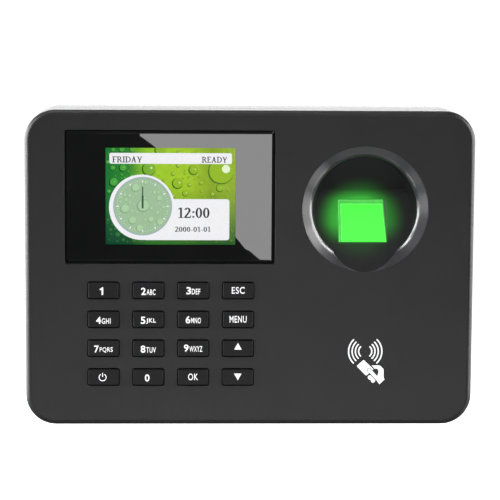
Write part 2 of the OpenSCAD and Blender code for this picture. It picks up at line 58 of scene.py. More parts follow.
edge_roll = 2.2 * mm
wall = 2.2 * mm

glass_mid = Vector((-30.3 * mm, 27.2 * mm))
pocket_w, pocket_h = 79.4 * mm, 50.6 * mm
pocket_floor_y = face_y + 1.6 * mm
ledge_w, ledge_h = 72 * mm, 44 * mm

key_names = ["key_1", "key_2", "key_3", "key_esc", "key_4", "key_5", "key_6", "key_menu",
             "key_7", "key_8", "key_9", "key_up", "key_power", "key_0", "key_ok", "key_down"]
key_mids = {}
for name in key_names:
    low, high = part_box(name)
    key_mids[name] = Vector(((low.x + high.x) / 2, (low.z + high.z) / 2))
key_w, key_h, key_corner, key_gap = 11.4 * mm, 6 * mm, 0.5 * mm, 0.38 * mm

cup_low, cup_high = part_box("finger_cup")
cup_mid = Vector(((cup_low.x + cup_high.x) / 2, (cup_low.z + cup_high.z) / 2))
cup_radius = 23.9 * mm


def rounded_outline(w, h, r, steps=6, mid=Vector((0, 0))):
    """Points of a rounded rectangle in X and Z, anticlockwise from the front."""
    points = []
    for k, (sx, sz) in enumerate(((1, -1), (1, 1), (-1, 1), (-1, -1))):
        cx, cz = sx * (w / 2 - r), sz * (h / 2 - r)
        for i in range(steps + 1):
            a = math.radians(-90 + 90 * k + 90 * i / steps)
            points.append(Vector((mid.x + cx + r * math.cos(a), mid.y + cz + r * math.sin(a))))
    return points


def circle_outline(r, steps=144, mid=Vector((0, 0))):
    """Points of a circle in X and Z, anticlockwise from the front, from its lowest point."""
    return [Vector((mid.x + r * math.sin(2 * math.pi * i / steps),
                    mid.y - r * math.cos(2 * math.pi * i / steps))) for i in range(steps)]


def ring_at(bm, outline, y):
    """Vertices of an outline set at depth y."""
    return [bm.verts.new((p.x, y, p.y)) for p in outline]


def skin(bm, rings, material=0):
    """Walls between rings of vertices that follow each other."""
    for a, b in zip(rings, rings[1:]):
        n = len(a)
        for i in range(n):
            face = bm.faces.new((a[i], a[(i + 1) % n], b[(i + 1) % n], b[i]))
            face.material_index = material


def inside(p, outline):
    """True if a point lies within an outline."""
    hit = False
    for a, b in zip(outline, outline[1:] + outline[:1]):
        if (a.y > p.y) != (b.y > p.y) and p.x < a.x + (b.x - a.x) * (p.y - a.y) / (b.y - a.y):
            hit = not hit
    return hit


def web(bm, outer, holes=(), material=0):
    """A face skin bounded by a ring of vertices, with a hole left for each inner ring."""
    verts, loops = [], []
    for loop in [outer, *holes]:
        loops.append(list(range(len(verts), len(verts) + len(loop))))
        verts += loop
    flat = [Vector((v.co.x / mm, v.co.z / mm)) for v in verts]
    edges = [(loop[i], loop[(i + 1) % len(loop)]) for loop in loops for i in range(len(loop))]
    out = delaunay_2d_cdt(flat, edges, [], 0, 1e-6)
    bounds = [[flat[i] for i in loop] for loop in loops]
    for tri in out[2]:
        corners = [verts[out[3][i][0]] for i in tri]
        mid = sum((out[0][i] for i in tri), Vector((0, 0))) / 3
        if len(set(corners)) == 3 and [inside(mid, b) for b in bounds] == [True] + [False] * len(holes):
            face = bm.faces.new(corners)
            face.material_index = material


def fillet_rings(bm, outline_at, y, radius, steps=3):
    """Rings round the mouth of a hole: from the grown outline at the face into the hole."""
    rings = []
    for i in range(steps + 1):
        a = math.radians(90 * i / steps)
        rings.append(ring_at(bm, outline_at(radius * (1 - math.sin(a))),
                             y + radius * (1 - math.cos(a))))
    return rings


def tube(bm, x, z, outer, inner, y0, y1, steps=32):
    """A hollow boss along Y."""
    mid = Vector((x, z))
    rings = [ring_at(bm, circle_outline(r, steps, mid), y)
             for r, y in ((outer, y0), (outer, y1), (inner, y1), (inner, y0))]
    skin(bm, rings + [rings[0]])


def piece(name, bm, materials, body="housing", crease=32, weld=2e-6):
    """Turns a bmesh into a piece of the terminal, shaded by face area, that rides on a body."""
    bmesh.ops.remove_doubles(bm, verts=bm.verts, dist=weld)
    bmesh.ops.dissolve_degenerate(bm, edges=bm.edges, dist=1e-7)
    bmesh.ops.recalc_face_normals(bm, faces=bm.faces)
    mesh = bpy.data.meshes.new(name)
    bm.to_mesh(mesh)
    bm.free()
    mesh.shade_smooth()
    mesh.set_sharp_from_angle(angle=math.radians(crease))
    for material in materials:
        mesh.materials.append(material)
    made = bpy.data.objects.new(name, mesh)
    bpy.context.scene.collection.objects.link(made)
    normals = made.modifiers.new("face_weight", "WEIGHTED_NORMAL")
    normals.mode = "FACE_AREA"
    normals.keep_sharp = True
    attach(made, body)
    return made


def material_nodes(name):
    """A new material with its node tree, its main shader and object coordinates."""
    material = bpy.data.materials.new(name)
    material.use_nodes = True
    tree = material.node_tree
    shader = tree.nodes["Principled BSDF"]
    coords = tree.nodes.new("ShaderNodeTexCoord").outputs["Object"]
    return material, tree, shader, coords


def noise(tree, coords, size, detail=3, rough=0.5, stretch=None):
    """Cloudy variation whose features measure about size, in metres."""
    if stretch:
        mapping = tree.nodes.new("ShaderNodeMapping")
        mapping.inputs["Scale"].default_value = stretch
        tree.links.new(coords, mapping.inputs["Vector"])
        coords = mapping.outputs["Vector"]
    texture = tree.nodes.new("ShaderNodeTexNoise")
    texture.inputs["Scale"].default_value = 1 / size
    texture.inputs["Detail"].default_value = detail
    texture.inputs["Roughness"].default_value = rough
    tree.links.new(coords, texture.inputs["Vector"])
    return texture.outputs["Fac"]


def ranged(tree, value, low, high, start=0.3, end=0.7):
    """Spreads a texture's middle range over low to high."""
    spread = tree.nodes.new("ShaderNodeMapRange")
    spread.inputs["From Min"].default_value = start
    spread.inputs["From Max"].default_value = end
    spread.inputs["To Min"].default_value = low
    spread.inputs["To Max"].default_value = high
    tree.links.new(value, spread.inputs["Value"])
    return spread.outputs["Result"]


def two_tone(tree, value, first, second, start=0.3, end=0.7):
    """Colour that runs from first to second with a texture."""
    ramp = tree.nodes.new("ShaderNodeValToRGB")
    ramp.color_ramp.elements[0].position = start
    ramp.color_ramp.elements[0].color = (*first, 1)
    ramp.color_ramp.elements[1].position = end
    ramp.color_ramp.elements[1].color = (*second, 1)
    tree.links.new(value, ramp.inputs["Fac"])
    return ramp.outputs["Color"]


def relief(tree, shader, value, depth, strength=1.0, under=None):
    """Bump of the given depth, in metres, on top of another bump if one is given."""
    bump = tree.nodes.new("ShaderNodeBump")
    bump.inputs["Distance"].default_value = depth
    bump.inputs["Strength"].default_value = strength
    tree.links.new(value, bump.inputs["Height"])
    if under is not None:
        tree.links.new(under, bump.inputs["Normal"])
    tree.links.new(bump.outputs["Normal"], shader.inputs["Normal"])
    return bump.outputs["Normal"]


def moulded_plastic(name, dark, light, rough, grain, depth, gloss=0.5, uneven=0.06):
    """Moulded plastic: faint cloudy colour, spark grain and slightly uneven gloss."""
    material, tree, shader, coords = material_nodes(name)
    cloud = noise(tree, coords, 14 * mm, 4)
    speck = noise(tree, coords, grain, 2, 0.6)
    tree.links.new(two_tone(tree, cloud, dark, light), shader.inputs["Base Color"])
    tree.links.new(ranged(tree, speck, rough - uneven, rough + uneven), shader.inputs["Roughness"])
    under = relief(tree, shader, noise(tree, coords, grain * 5, 3), depth * 1.4, 0.5)
    relief(tree, shader, speck, depth, 1.0, under)
    shader.inputs["Specular IOR Level"].default_value = gloss
    return material


shell_plastic = moulded_plastic("shell_plastic", (0.0058, 0.0058, 0.0066), (0.0078, 0.0078, 0.0087),
                                0.40, 0.55 * mm, 0.034 * mm, 0.4)

bm = bmesh.new()
outer = [ring_at(bm, rounded_outline(shell_w - 2 * i, shell_h - 2 * i, corner_radius - i, 14), y)
         for i, y in [(0.15 * mm, parting_y), (0, parting_y - 0.15 * mm)]]
for k in range(11):
    a = math.radians(9 * k)
    i = edge_roll * (1 - math.cos(a))
    outer.append(ring_at(bm, rounded_outline(shell_w - 2 * i, shell_h - 2 * i,
                                             corner_radius - i, 14),
                         face_y + edge_roll * (1 - math.sin(a))))
inner = [ring_at(bm, rounded_outline(shell_w - 2 * wall, shell_h - 2 * wall,
                                     corner_radius - wall, 14), y)
         for y in (inside_y, parting_y)]
skin(bm, inner + outer)

face_holes, inside_holes = [], []
pocket = fillet_rings(bm, lambda grow: rounded_outline(
    pocket_w + 2 * grow, pocket_h + 2 * grow, 0.8 * mm + grow, 5, glass_mid), face_y, 0.14 * mm)
pocket.append(ring_at(bm, rounded_outline(pocket_w, pocket_h, 0.8 * mm, 5, glass_mid),
                      pocket_floor_y))
skin(bm, pocket)
ledge = [ring_at(bm, rounded_outline(ledge_w, ledge_h, 0.3 * mm, 2, glass_mid), y)
         for y in (pocket_floor_y, inside_y)]
web(bm, pocket[-1], [ledge[0]])
skin(bm, ledge)
face_holes.append(pocket[0])
inside_holes.append(ledge[1])

for name in key_names:
    rings = fillet_rings(bm, lambda grow: rounded_outline(
        key_w + 2 * (key_gap + grow), key_h + 2 * (key_gap + grow),
        key_corner + key_gap + grow, 5, key_mids[name]), face_y, 0.1 * mm)
    rings.append(ring_at(bm, rounded_outline(key_w + 2 * key_gap, key_h + 2 * key_gap,
                                             key_corner + key_gap, 5, key_mids[name]), inside_y))
    skin(bm, rings)
    face_holes.append(rings[0])
    inside_holes.append(rings[-1])

rings = fillet_rings(bm, lambda grow: circle_outline(cup_radius + 0.02 * mm + grow, 144, cup_mid),
                     face_y, 0.12 * mm)
rings.append(ring_at(bm, circle_outline(cup_radius + 0.02 * mm, 144, cup_mid), inside_y))
skin(bm, rings)
face_holes.append(rings[0])
inside_holes.append(rings[-1])

web(bm, outer[-1], face_holes)
web(bm, inner[0], inside_holes)

case_post_x, case_post_z, case_post_end = 76.5 * mm, 51 * mm, -21.4 * mm
board_posts, board_post_end = ((-75, 32), (-75, -32), (10, -50), (13.5, 45)), -28.4 * mm
card_board_x, card_board_z = 45 * mm, -35 * mm
card_post_x, card_post_z, card_post_end = 18 * mm, 16 * mm, -31.95 * mm
for sx in (-1, 1):
    for sz in (-1, 1):
        tube(bm, sx * case_post_x, sz * case_post_z, 3.4 * mm, 1.5 * mm, inside_y, case_post_end)
        tube(bm, card_board_x + sx * card_post_x, card_board_z + sz * card_post_z,
             1.5 * mm, 0.6 * mm, inside_y, card_post_end, 20)
for x, z in board_posts:
    tube(bm, x * mm, z * mm, 2.6 * mm, 1.25 * mm, inside_y, board_post_end)
front = piece("front_moulding", bm, [shell_plastic])
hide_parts("front_shell")

# ---- Finger cup --------------------------------------------------------------------------
# A second moulding glued in behind the face: a smooth bevelled rim, a drafted wall, a short
# roof, and the long finger ramp with the reader's window in it. The lip where rim meets wall
# is rounded and smooth, and catches the light.
rim_inner, rim_depth = 20.9 * mm, 1.95 * mm
lip_inner, lip_depth = 19.8 * mm, 2.84 * mm
fold_depth = 10 * mm
fold_rise = 6.5 * mm
draft = 0.33
ramp_slope = fold_depth / (fold_rise + cup_radius)
roof_slope = (fold_depth - lip_depth - 0.2 * mm) / (lip_inner - fold_rise)
ramp_angle = math.atan(ramp_slope)
window_w, window_h = 18.4 * mm, 16.8 * mm
window_x, window_z = 43 * mm, 17.9 * mm
window_depth = (window_z - cup_mid.y + cup_radius) * ramp_slope


def ramp_at(rise):
    """Depth of the ramp at a height above the cup's middle."""
    return (rise + cup_radius) * ramp_slope


def roof_at(rise):
    """Depth of the roof at a height above the cup's middle."""
    return fold_depth - (rise - fold_rise) * roof_slope


def rounded_corner(a, b, c, radius, steps):
    """Points that round the corner b between a and c."""
    a, b, c = Vector(a), Vector(b), Vector(c)
    reach = min(radius, 0.45 * (a - b).length, 0.45 * (c - b).length)
    if reach < 1e-6:
        return [b] * (steps + 1)
    p = b + (a - b).normalized() * reach
    q = b + (c - b).normalized() * reach
    return [(1 - t) ** 2 * p + 2 * t * (1 - t) * b + t * t * q
            for t in (i / steps for i in range(steps + 1))]


rim_start = (cup_radius - 0.1 * mm, 0.1 * mm * rim_depth / (cup_radius - rim_inner))
rim_end, lip_end = (rim_inner, rim_depth), (lip_inner, lip_depth)
wall_end = (lip_inner - 11 * mm * draft, lip_depth + 11 * mm)
mouth = [Vector(p) for p in ((cup_radius, 0.1 * mm), (cup_radius - 0.03 * mm, 0.04 * mm), rim_start)]
mouth += rounded_corner(rim_start, rim_end, lip_end, 0.45 * mm, 4)
mouth += rounded_corner(rim_end, lip_end, wall_end, 0.5 * mm, 6)
mouth.append(Vector(wall_end))


def cup_section(a):
    """Rim, lip and wall on the ray at angle a from the cup's lowest point, cut off at its floor."""
    points = []
    for p in mouth:
        rise = -p.x * math.cos(a)
        room = (ramp_at(rise) if rise <= fold_rise else roof_at(rise)) - p.y
        if points and room < 0:
            q, room_before = points[-1]
            t = room_before / (room_before - room) if room_before > 0 else 0
            foot = q + (p - q) * t
            points += [(foot, 0)] * (len(mouth) - len(points))
            break
        points.append((p, room))
    return [p for p, room in points]


cup_steps = 480
sections = [(2 * math.pi * i / cup_steps, cup_section(2 * math.pi * i / cup_steps))
            for i in range(cup_steps)]

bm = bmesh.new()
rings = []
for k in range(len(sections[0][1])):
    ring = []
    for a, profile in sections:
        r, depth = profile[k]
        ring.append(bm.verts.new((cup_mid.x + r * math.sin(a), face_y + depth,
                                  cup_mid.y - r * math.cos(a))))
    rings.append(ring)
rim_back = ring_at(bm, circle_outline(cup_radius, cup_steps, cup_mid), inside_y)
flange = [ring_at(bm, circle_outline(r, cup_steps, cup_mid), y)
          for r, y in ((26.4 * mm, inside_y), (26.4 * mm, inside_y + 1.4 * mm))]
back = []
for a, profile in sections:
    r, depth = profile[-1]
    r = min(r + 2 * mm, 25.2 * mm)
    depth = max(depth + 2.3 * mm, 3.9 * mm)
    back.append(bm.verts.new((cup_mid.x + r * math.sin(a), face_y + depth,
                              cup_mid.y - r * math.cos(a))))
skin(bm, [back, flange[1], flange[0], rim_back])
skin(bm, [rim_back] + rings[:5], 1)
skin(bm, rings[4:13], 2)
skin(bm, rings[12:])

# window opening in the ramp, with a small gap round the glass
gap_w, gap_h = window_w / 2 + 0.15 * mm, (window_h / 2 + 0.15 * mm) * math.cos(ramp_angle)
opening = [(window_x - gap_w, window_z - gap_h), (window_x + gap_w, window_z - gap_h),
           (window_x + gap_w, window_z + gap_h), (window_x - gap_w, window_z + gap_h)]
opening_rings = []
for shift in (0, 2.3 * mm):
    opening_rings.append([bm.verts.new((x, face_y + ramp_at(z - cup_mid.y) + shift, z))
                          for x, z in opening])
skin(bm, opening_rings)


def split_floor(ring, hole, fold_shift):
    """Closes a ring with the ramp below the fold, which holds the window, and the roof above."""
    rise = [v.co.z - cup_mid.y for v in ring]
    low = [v for v, z in zip(ring, rise) if z <= fold_rise]
    high = [v for v, z in zip(ring, rise) if z > fold_rise]
    first = next(i for i in range(len(ring)) if rise[i] > fold_rise)
    right, left = ring[first - 1], ring[(first + len(high)) % len(ring)]
    for v in (right, left):
        v.co.z = cup_mid.y + fold_rise
        v.co.y = face_y + fold_depth + fold_shift
    start = ring.index(left)
    ordered = [ring[(start + i) % len(ring)] for i in range(len(low))]
    web(bm, ordered, [hole])
    web(bm, [right, *high, left])


split_floor(rings[-1], opening_rings[0], 0)
split_floor(back, opening_rings[1], 2.3 * mm)

# rim and lip: the cup's black plastic with a smoother finish, and a lighter colour that is painted sheen
rim_painted_sheen = moulded_plastic("rim_painted_sheen", (0.026, 0.026, 0.028), (0.034, 0.034, 0.037),
                              0.25, 0.5 * mm, 0.0007 * mm, 0.32, 0.008)
lip_painted_sheen = moulded_plastic("lip_painted_sheen", (0.02, 0.02, 0.022), (0.026, 0.026, 0.029),
                              0.2, 0.5 * mm, 0.0005 * mm, 0.6, 0.008)
cup_plastic = moulded_plastic("cup_plastic", (0.0062, 0.0062, 0.0066), (0.008, 0.008, 0.0088),
                              0.42, 0.4 * mm, 0.01 * mm, 0.2)
# painted glow: green emission on the plastic round the reader's window stands in for the reader's light that
# soaks into the thin plastic. It fades with distance, and sooner below, above and far to the right
tree = cup_plastic.node_tree
shader = tree.nodes["Principled BSDF"]
placed = tree.nodes.new("ShaderNodeMapping")
placed.inputs["Location"].default_value = (-window_x + 0.5 * mm, 0, -window_z - 0.6 * mm)
tree.links.new(tree.nodes["Texture Coordinate"].outputs["Object"], placed.inputs["Vector"])
flat_on = tree.nodes.new("ShaderNodeVectorMath")
flat_on.operation = "MULTIPLY"
flat_on.inputs[1].default_value = (1, 0, 1.06)
tree.links.new(placed.outputs["Vector"], flat_on.inputs[0])
away = tree.nodes.new("ShaderNodeVectorMath")
away.operation = "LENGTH"
tree.links.new(flat_on.outputs["Vector"], away.inputs[0])
painted_glow = tree.nodes.new("ShaderNodeValToRGB")
stops = painted_glow.color_ramp.elements
stops[0].position, stops[0].color = 0.45, (0.035, 0.48, 0.035, 1)
stops[1].position, stops[1].color = 1.0, (0, 0, 0, 1)
for at, green in ((0.55, 0.36), (0.65, 0.29), (0.75, 0.15), (0.85, 0.055), (0.93, 0.012)):
    stops.new(at).color = (green * 0.07, green, green * 0.07, 1)
tree.links.new(ranged(tree, away.outputs["Value"], 0, 1, 0, 18 * mm), painted_glow.inputs["Fac"])
from_side = tree.nodes.new("ShaderNodeSeparateXYZ")
tree.links.new(placed.outputs["Vector"], from_side.inputs["Vector"])
lower = ranged(tree, from_side.outputs["Z"], 0.1, 1, -9.5 * mm, -2 * mm)
farther = ranged(tree, from_side.outputs["X"], 1, 0.45, 2 * mm, 11 * mm)
upper = ranged(tree, from_side.outputs["Z"], 1.05, 0.3, 7.5 * mm, 11 * mm)
share = lower
for part in (farther, upper):
    both = tree.nodes.new("ShaderNodeMath")
    both.operation = "MULTIPLY"
    tree.links.new(share, both.inputs[0])
    tree.links.new(part, both.inputs[1])
    share = both.outputs["Value"]
tree.links.new(painted_glow.outputs["Color"], shader.inputs["Emission Color"])
tree.links.new(share, shader.inputs["Emission Strength"])
cup = piece("finger_cup_moulding", bm, [cup_plastic, rim_painted_sheen, lip_painted_sheen],
            crease=20, weld=0.04 * mm)
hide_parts("finger_cup")

# ---- Rear shell --------------------------------------------------------------------------
# The deeper half of the housing, the same grained ABS. It carries the loudspeaker's grille,
# the pocket for the wall plate, the port openings and the countersunk lock hole.


def finish_node(name, material):
    """Gives a CAD piece its material."""
    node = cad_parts[name]
    node.data.materials.clear()
    node.data.materials.append(material)


finish_node("rear_shell", shell_plastic)

# ---- Cover glass -------------------------------------------------------------------------
# Cast acrylic, 1.3 mm thick with a ground bevel round the front. Black ink is printed on the
# back everywhere except the clear window over the display.
glass_low, glass_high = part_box("display_lens")
bevel_w, bevel_d = 1.2 * mm, 0.4 * mm
clear_mid = Vector((-30.1 * mm, 27.4 * mm))
clear_w, clear_h = 49 * mm, 36.8 * mm

black_glass, tree, shader, coords = material_nodes("black_glass")
haze = noise(tree, coords, 22 * mm, 3)
tree.links.new(two_tone(tree, haze, (0.0035, 0.004, 0.0036), (0.0055, 0.006, 0.0056)),
               shader.inputs["Base Color"])
tree.links.new(ranged(tree, noise(tree, coords, 6 * mm, 5), 0.004, 0.014),
               shader.inputs["Roughness"])
relief(tree, shader, noise(tree, coords, 16 * mm, 1), 0.001 * mm, 0.3)
shader.inputs["IOR"].default_value = 1.49


def clear_acrylic(name):
    """See-through material; returned with its tree, shader and the socket for the shine's share."""
    material, tree, shader, coords = material_nodes(name)
    see = tree.nodes.new("ShaderNodeBsdfTransparent")
    blend_in = tree.nodes.new("ShaderNodeMixShader")
    shader.inputs["Base Color"].default_value = (0.02, 0.02, 0.02, 1)
    shader.inputs["IOR"].default_value = 1.49
    tree.links.new(ranged(tree, noise(tree, coords, 6 * mm, 5), 0.004, 0.014),
                   shader.inputs["Roughness"])
    tree.links.new(see.outputs["BSDF"], blend_in.inputs[1])
    tree.links.new(shader.outputs["BSDF"], blend_in.inputs[2])
    tree.links.new(blend_in.outputs["Shader"], tree.nodes["Material Output"].inputs["Surface"])
    return material, tree, coords, blend_in.inputs["Fac"]


clear_glass, tree, coords, shine = clear_acrylic("clear_glass")
fresnel = tree.nodes.new("ShaderNodeFresnel")
fresnel.inputs["IOR"].default_value = 1.16
tree.links.new(fresnel.outputs["Fac"], shine)
clear_back, tree, coords, shine = clear_acrylic("clear_glass_back")
tree.links.new(ranged(tree, noise(tree, coords, 9 * mm, 3), 0.002, 0.006), shine)

bm = bmesh.new()
glass_w, glass_h = glass_high.x - glass_low.x, glass_high.z - glass_low.z
rings = [ring_at(bm, rounded_outline(glass_w - 2 * i, glass_h - 2 * i, 0.7 * mm - i * 0.5, 5,
                                     glass_mid), y)
         for i, y in ((0, glass_high.y), (0, glass_low.y + bevel_d + 0.05 * mm),
                      (0.03 * mm, glass_low.y + bevel_d),
                      (bevel_w - 0.05 * mm, glass_low.y + 0.01 * mm), (bevel_w, glass_low.y))]
skin(bm, rings)
clear = [ring_at(bm, rounded_outline(clear_w, clear_h, 0.3 * mm, 2, clear_mid), y)
         for y in (glass_high.y, glass_low.y)]
web(bm, rings[0], [clear[0]])
web(bm, rings[-1], [clear[1]])
web(bm, clear[0], material=2)
web(bm, clear[1], material=1)
glass = piece("cover_glass", bm, [black_glass, clear_glass, clear_back],
              crease=12)
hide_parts("display_lens")

tape, tree, shader, coords = material_nodes("foam_tape")
tree.links.new(two_tone(tree, noise(tree, coords, 0.6 * mm, 4), (0.01, 0.01, 0.01),
                        (0.02, 0.02, 0.02)), shader.inputs["Base Color"])
shader.inputs["Roughness"].default_value = 0.9
relief(tree, shader, noise(tree, coords, 0.3 * mm, 3), 0.05 * mm)
finish_node("lens_tape", tape)
finish_node("lcd_foam", tape)

# ---- Display -----------------------------------------------------------------------------
# A colour LCD: a glass panel on a white tray with the light guide, and an amber flexible tail.
# It shows its idle screen: a green ground with water drops, a status bar and a clock.
panel_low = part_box("lcd_panel")[0]
picture_w, picture_h = 48.96 * mm, 36.72 * mm
picture_left = clear_mid.x - picture_w / 2
picture_low = clear_mid.y - picture_h / 2


def screen_light(name, colour):
    """Light of the display in one colour, with the fine shimmer of its cells."""
    material, tree, shader, coords = material_nodes(name)
    shader.inputs["Base Color"].default_value = (0.02, 0.02, 0.02, 1)
    shader.inputs["Roughness"].default_value = 0.35
    dim = tuple(c * 0.93 for c in colour)
    tree.links.new(two_tone(tree, noise(tree, coords, 0.5 * mm, 2), dim, colour),
                   shader.inputs["Emission Color"])
    shader.inputs["Emission Strength"].default_value = 1.0
    shader.inputs["Specular IOR Level"].default_value = 0.12
    relief(tree, shader, noise(tree, coords, 0.2 * mm, 2), 0.002 * mm)
    return material


green_ground, tree, shader, coords = material_nodes("screen_ground")
parts = tree.nodes.new("ShaderNodeSeparateXYZ")
tree.links.new(coords, parts.inputs["Vector"])
across = ranged(tree, parts.outputs["X"], 0, 1, picture_left, picture_left + picture_w)
upward = ranged(tree, parts.outputs["Z"], 0, 1, picture_low, picture_low + picture_h)
glow_row = tree.nodes.new("ShaderNodeValToRGB")
stops = glow_row.color_ramp.elements
stops[0].position, stops[0].color = 0.0, (0.005, 0.17, 0.028, 1)
stops[1].position, stops[1].color = 1.0, (0.29, 0.44, 0.03, 1)
for at, colour in ((0.18, (0.022, 0.22, 0.022)), (0.28, (0.2, 0.47, 0.022)), (0.4, (0.33, 0.57, 0.022)),
                   (0.62, (0.35, 0.56, 0.02)), (0.82, (0.25, 0.38, 0.018))):
    stops.new(at).color = (*colour, 1)
tree.links.new(across, glow_row.inputs["Fac"])
shade_column = tree.nodes.new("ShaderNodeMix")
shade_column.data_type = "RGBA"
shade_column.blend_type = "MULTIPLY"
shade_column.inputs["Factor"].default_value = 1
low_shade = two_tone(tree, upward, (0.05, 0.24, 0.8), (1, 1, 1), 0.0, 0.6)
tree.links.new(glow_row.outputs["Color"], shade_column.inputs["A"])
tree.links.new(low_shade, shade_column.inputs["B"])
mist = tree.nodes.new("ShaderNodeMix")
mist.data_type = "RGBA"
mist.blend_type = "OVERLAY"
mist.inputs["Factor"].default_value = 0.3
tree.links.new(shade_column.outputs["Result"], mist.inputs["A"])
tree.links.new(two_tone(tree, noise(tree, coords, 4 * mm, 4), (0.35, 0.35, 0.35), (0.65, 0.65, 0.65)),
               mist.inputs["B"])
tree.links.new(mist.outputs["Result"], shader.inputs["Emission Color"])
shader.inputs["Emission Strength"].default_value = 1.0
shader.inputs["Base Color"].default_value = (0.01, 0.02, 0.012, 1)
shader.inputs["Specular IOR Level"].default_value = 0.12
relief(tree, shader, noise(tree, coords, 0.2 * mm, 2), 0.002 * mm)
shader.inputs["Roughness"].default_value = 0.35

panel_glass, tree, shader, coords = material_nodes("panel_glass")
tree.links.new(two_tone(tree, noise(tree, coords, 8 * mm, 3), (0.01, 0.012, 0.011),
                        (0.018, 0.02, 0.018)), shader.inputs["Base Color"])
shader.inputs["Roughness"].default_value = 0.25
relief(tree, shader, noise(tree, coords, 1 * mm, 3), 0.002 * mm)
finish_node("lcd_panel", panel_glass)


def layer(name, outlines, y, thick, material, body="housing"):
    """A thin printed or lit layer facing the front: each entry is an outline and its holes."""
    bm = bmesh.new()
    for outline, *holes in outlines:
        fronts = [ring_at(bm, loop, y) for loop in (outline, *holes)]
        backs = [ring_at(bm, loop, y + thick) for loop in (outline, *holes)]
        web(bm, fronts[0], fronts[1:])
        web(bm, backs[0], backs[1:])
        for a, b in zip(fronts, backs):
            skin(bm, [a, b])
    return piece(name, bm, [material], body, weld=1e-7)


def screen_at(x, z):
    """A point of the picture, measured in mm from its lower left corner."""
    return Vector((picture_left + x * mm, picture_low + z * mm))


def screen_bar(x0, z0, x1, z1, r):
    """A round-cornered panel of the picture between two corners, in mm."""
    mid = (screen_at(x0, z0) + screen_at(x1, z1)) / 2
    return rounded_outline((x1 - x0) * mm, (z1 - z0) * mm, r * mm, 5, mid)


screen_y = panel_low.y - 0.05 * mm
layer("screen_ground", [[screen_bar(0, 0, picture_w / mm, picture_h / mm, 0.1)]], screen_y,
      0.05 * mm, green_ground)
screen_white = screen_light("screen_white", (0.9, 0.9, 0.93))
screen_pale = screen_light("screen_pale", (0.35, 0.53, 0.33))
screen_rim = screen_light("screen_rim", (0.36, 0.42, 0.55))
screen_ink = screen_light("screen_ink", (0.006, 0.006, 0.01))

# water drops: each a shaded disc, a lighter disc up and to the right of it, and a glint
dice = random.Random(11)
drops = [(43.4, 27.8, 4.9), (33.0, 28.3, 1.9), (16.2, 28.6, 2.6), (27.0, 23.2, 2.1),
         (2.9, 23.6, 1.7), (6.4, 29.0, 1.4), (2.6, 29.0, 1.0), (30.0, 19.5, 1.2), (43.0, 21.5, 1.5),
         (10.0, 36.0, 1.1), (20.5, 35.8, 2.2)]
while len(drops) < 210:
    x = dice.uniform(*((0.7, 12), (0.7, 48.2), (26, 48.2))[len(drops) % 3])
    z, r = dice.uniform(0.7, 36), dice.choice((0.3, 0.4, 0.5, 0.6, 0.8, 1.1))
    if all(math.hypot(x - p, z - q) > r + t + 0.25 for p, q, t in drops):
        drops.append((x, z, r))


def drop_discs(shaded):
    """The drops' outlines less their shaded lower left side, all kept in the picture."""
    discs = []
    for x, z, r in drops:
        side = shaded * min(r, 1.9)
        disc = circle_outline((r - side) * mm, 28, screen_at(x + side, z + side))
        discs.append([[Vector((min(max(p.x, picture_left), picture_left + picture_w),
                               min(max(p.y, picture_low), picture_low + picture_h)))
                       for p in disc]])
    return discs


def drop_light(name, left_colour, right_colour):
    """Light of the drops, which warms from left to right as the ground does."""
    material, tree, shader, coords = material_nodes(name)
    parts = tree.nodes.new("ShaderNodeSeparateXYZ")
    tree.links.new(coords, parts.inputs["Vector"])
    across = ranged(tree, parts.outputs["X"], 0, 1, picture_left, picture_left + picture_w)
    upward = ranged(tree, parts.outputs["Z"], 0, 1, picture_low, picture_low + picture_h)
    shaded = tree.nodes.new("ShaderNodeMix")
    shaded.data_type = "RGBA"
    shaded.blend_type = "MULTIPLY"
    shaded.inputs["Factor"].default_value = 1
    tree.links.new(two_tone(tree, across, left_colour, right_colour, 0.12, 0.48), shaded.inputs["A"])
    tree.links.new(two_tone(tree, upward, (0.2, 0.3, 0.6), (1, 1, 1), 0, 0.5), shaded.inputs["B"])
    tree.links.new(shaded.outputs["Result"], shader.inputs["Emission Color"])
    shader.inputs["Emission Strength"].default_value = 1.0
    shader.inputs["Base Color"].default_value = (0.01, 0.02, 0.012, 1)
    shader.inputs["Specular IOR Level"].default_value = 0.12
    tree.links.new(ranged(tree, noise(tree, coords, 1 * mm, 2), 0.3, 0.4),
                   shader.inputs["Roughness"])
    relief(tree, shader, noise(tree, coords, 0.2 * mm, 2), 0.002 * mm)
    return material


layer("drop_shade", drop_discs(0), screen_y - 0.004 * mm, 0.004 * mm,
      drop_light("drop_shade", (0.002, 0.04, 0.008), (0.06, 0.17, 0.004)))
layer("drop_body", drop_discs(0.13), screen_y - 0.008 * mm, 0.004 * mm,
      drop_light("drop_body", (0.06, 0.36, 0.045), (0.29, 0.48, 0.018)))
layer("drop_glint", [[circle_outline(max(0.17, r * r * 0.065) * mm, 16, screen_at(x + 0.4 * r, z + 0.2 * r))]
                     for x, z, r in drops if 0.6 < r and z < 35], screen_y - 0.012 * mm, 0.004 * mm,
      drop_light("drop_glint", (0.3, 0.7, 0.25), (0.78, 0.9, 0.62)))

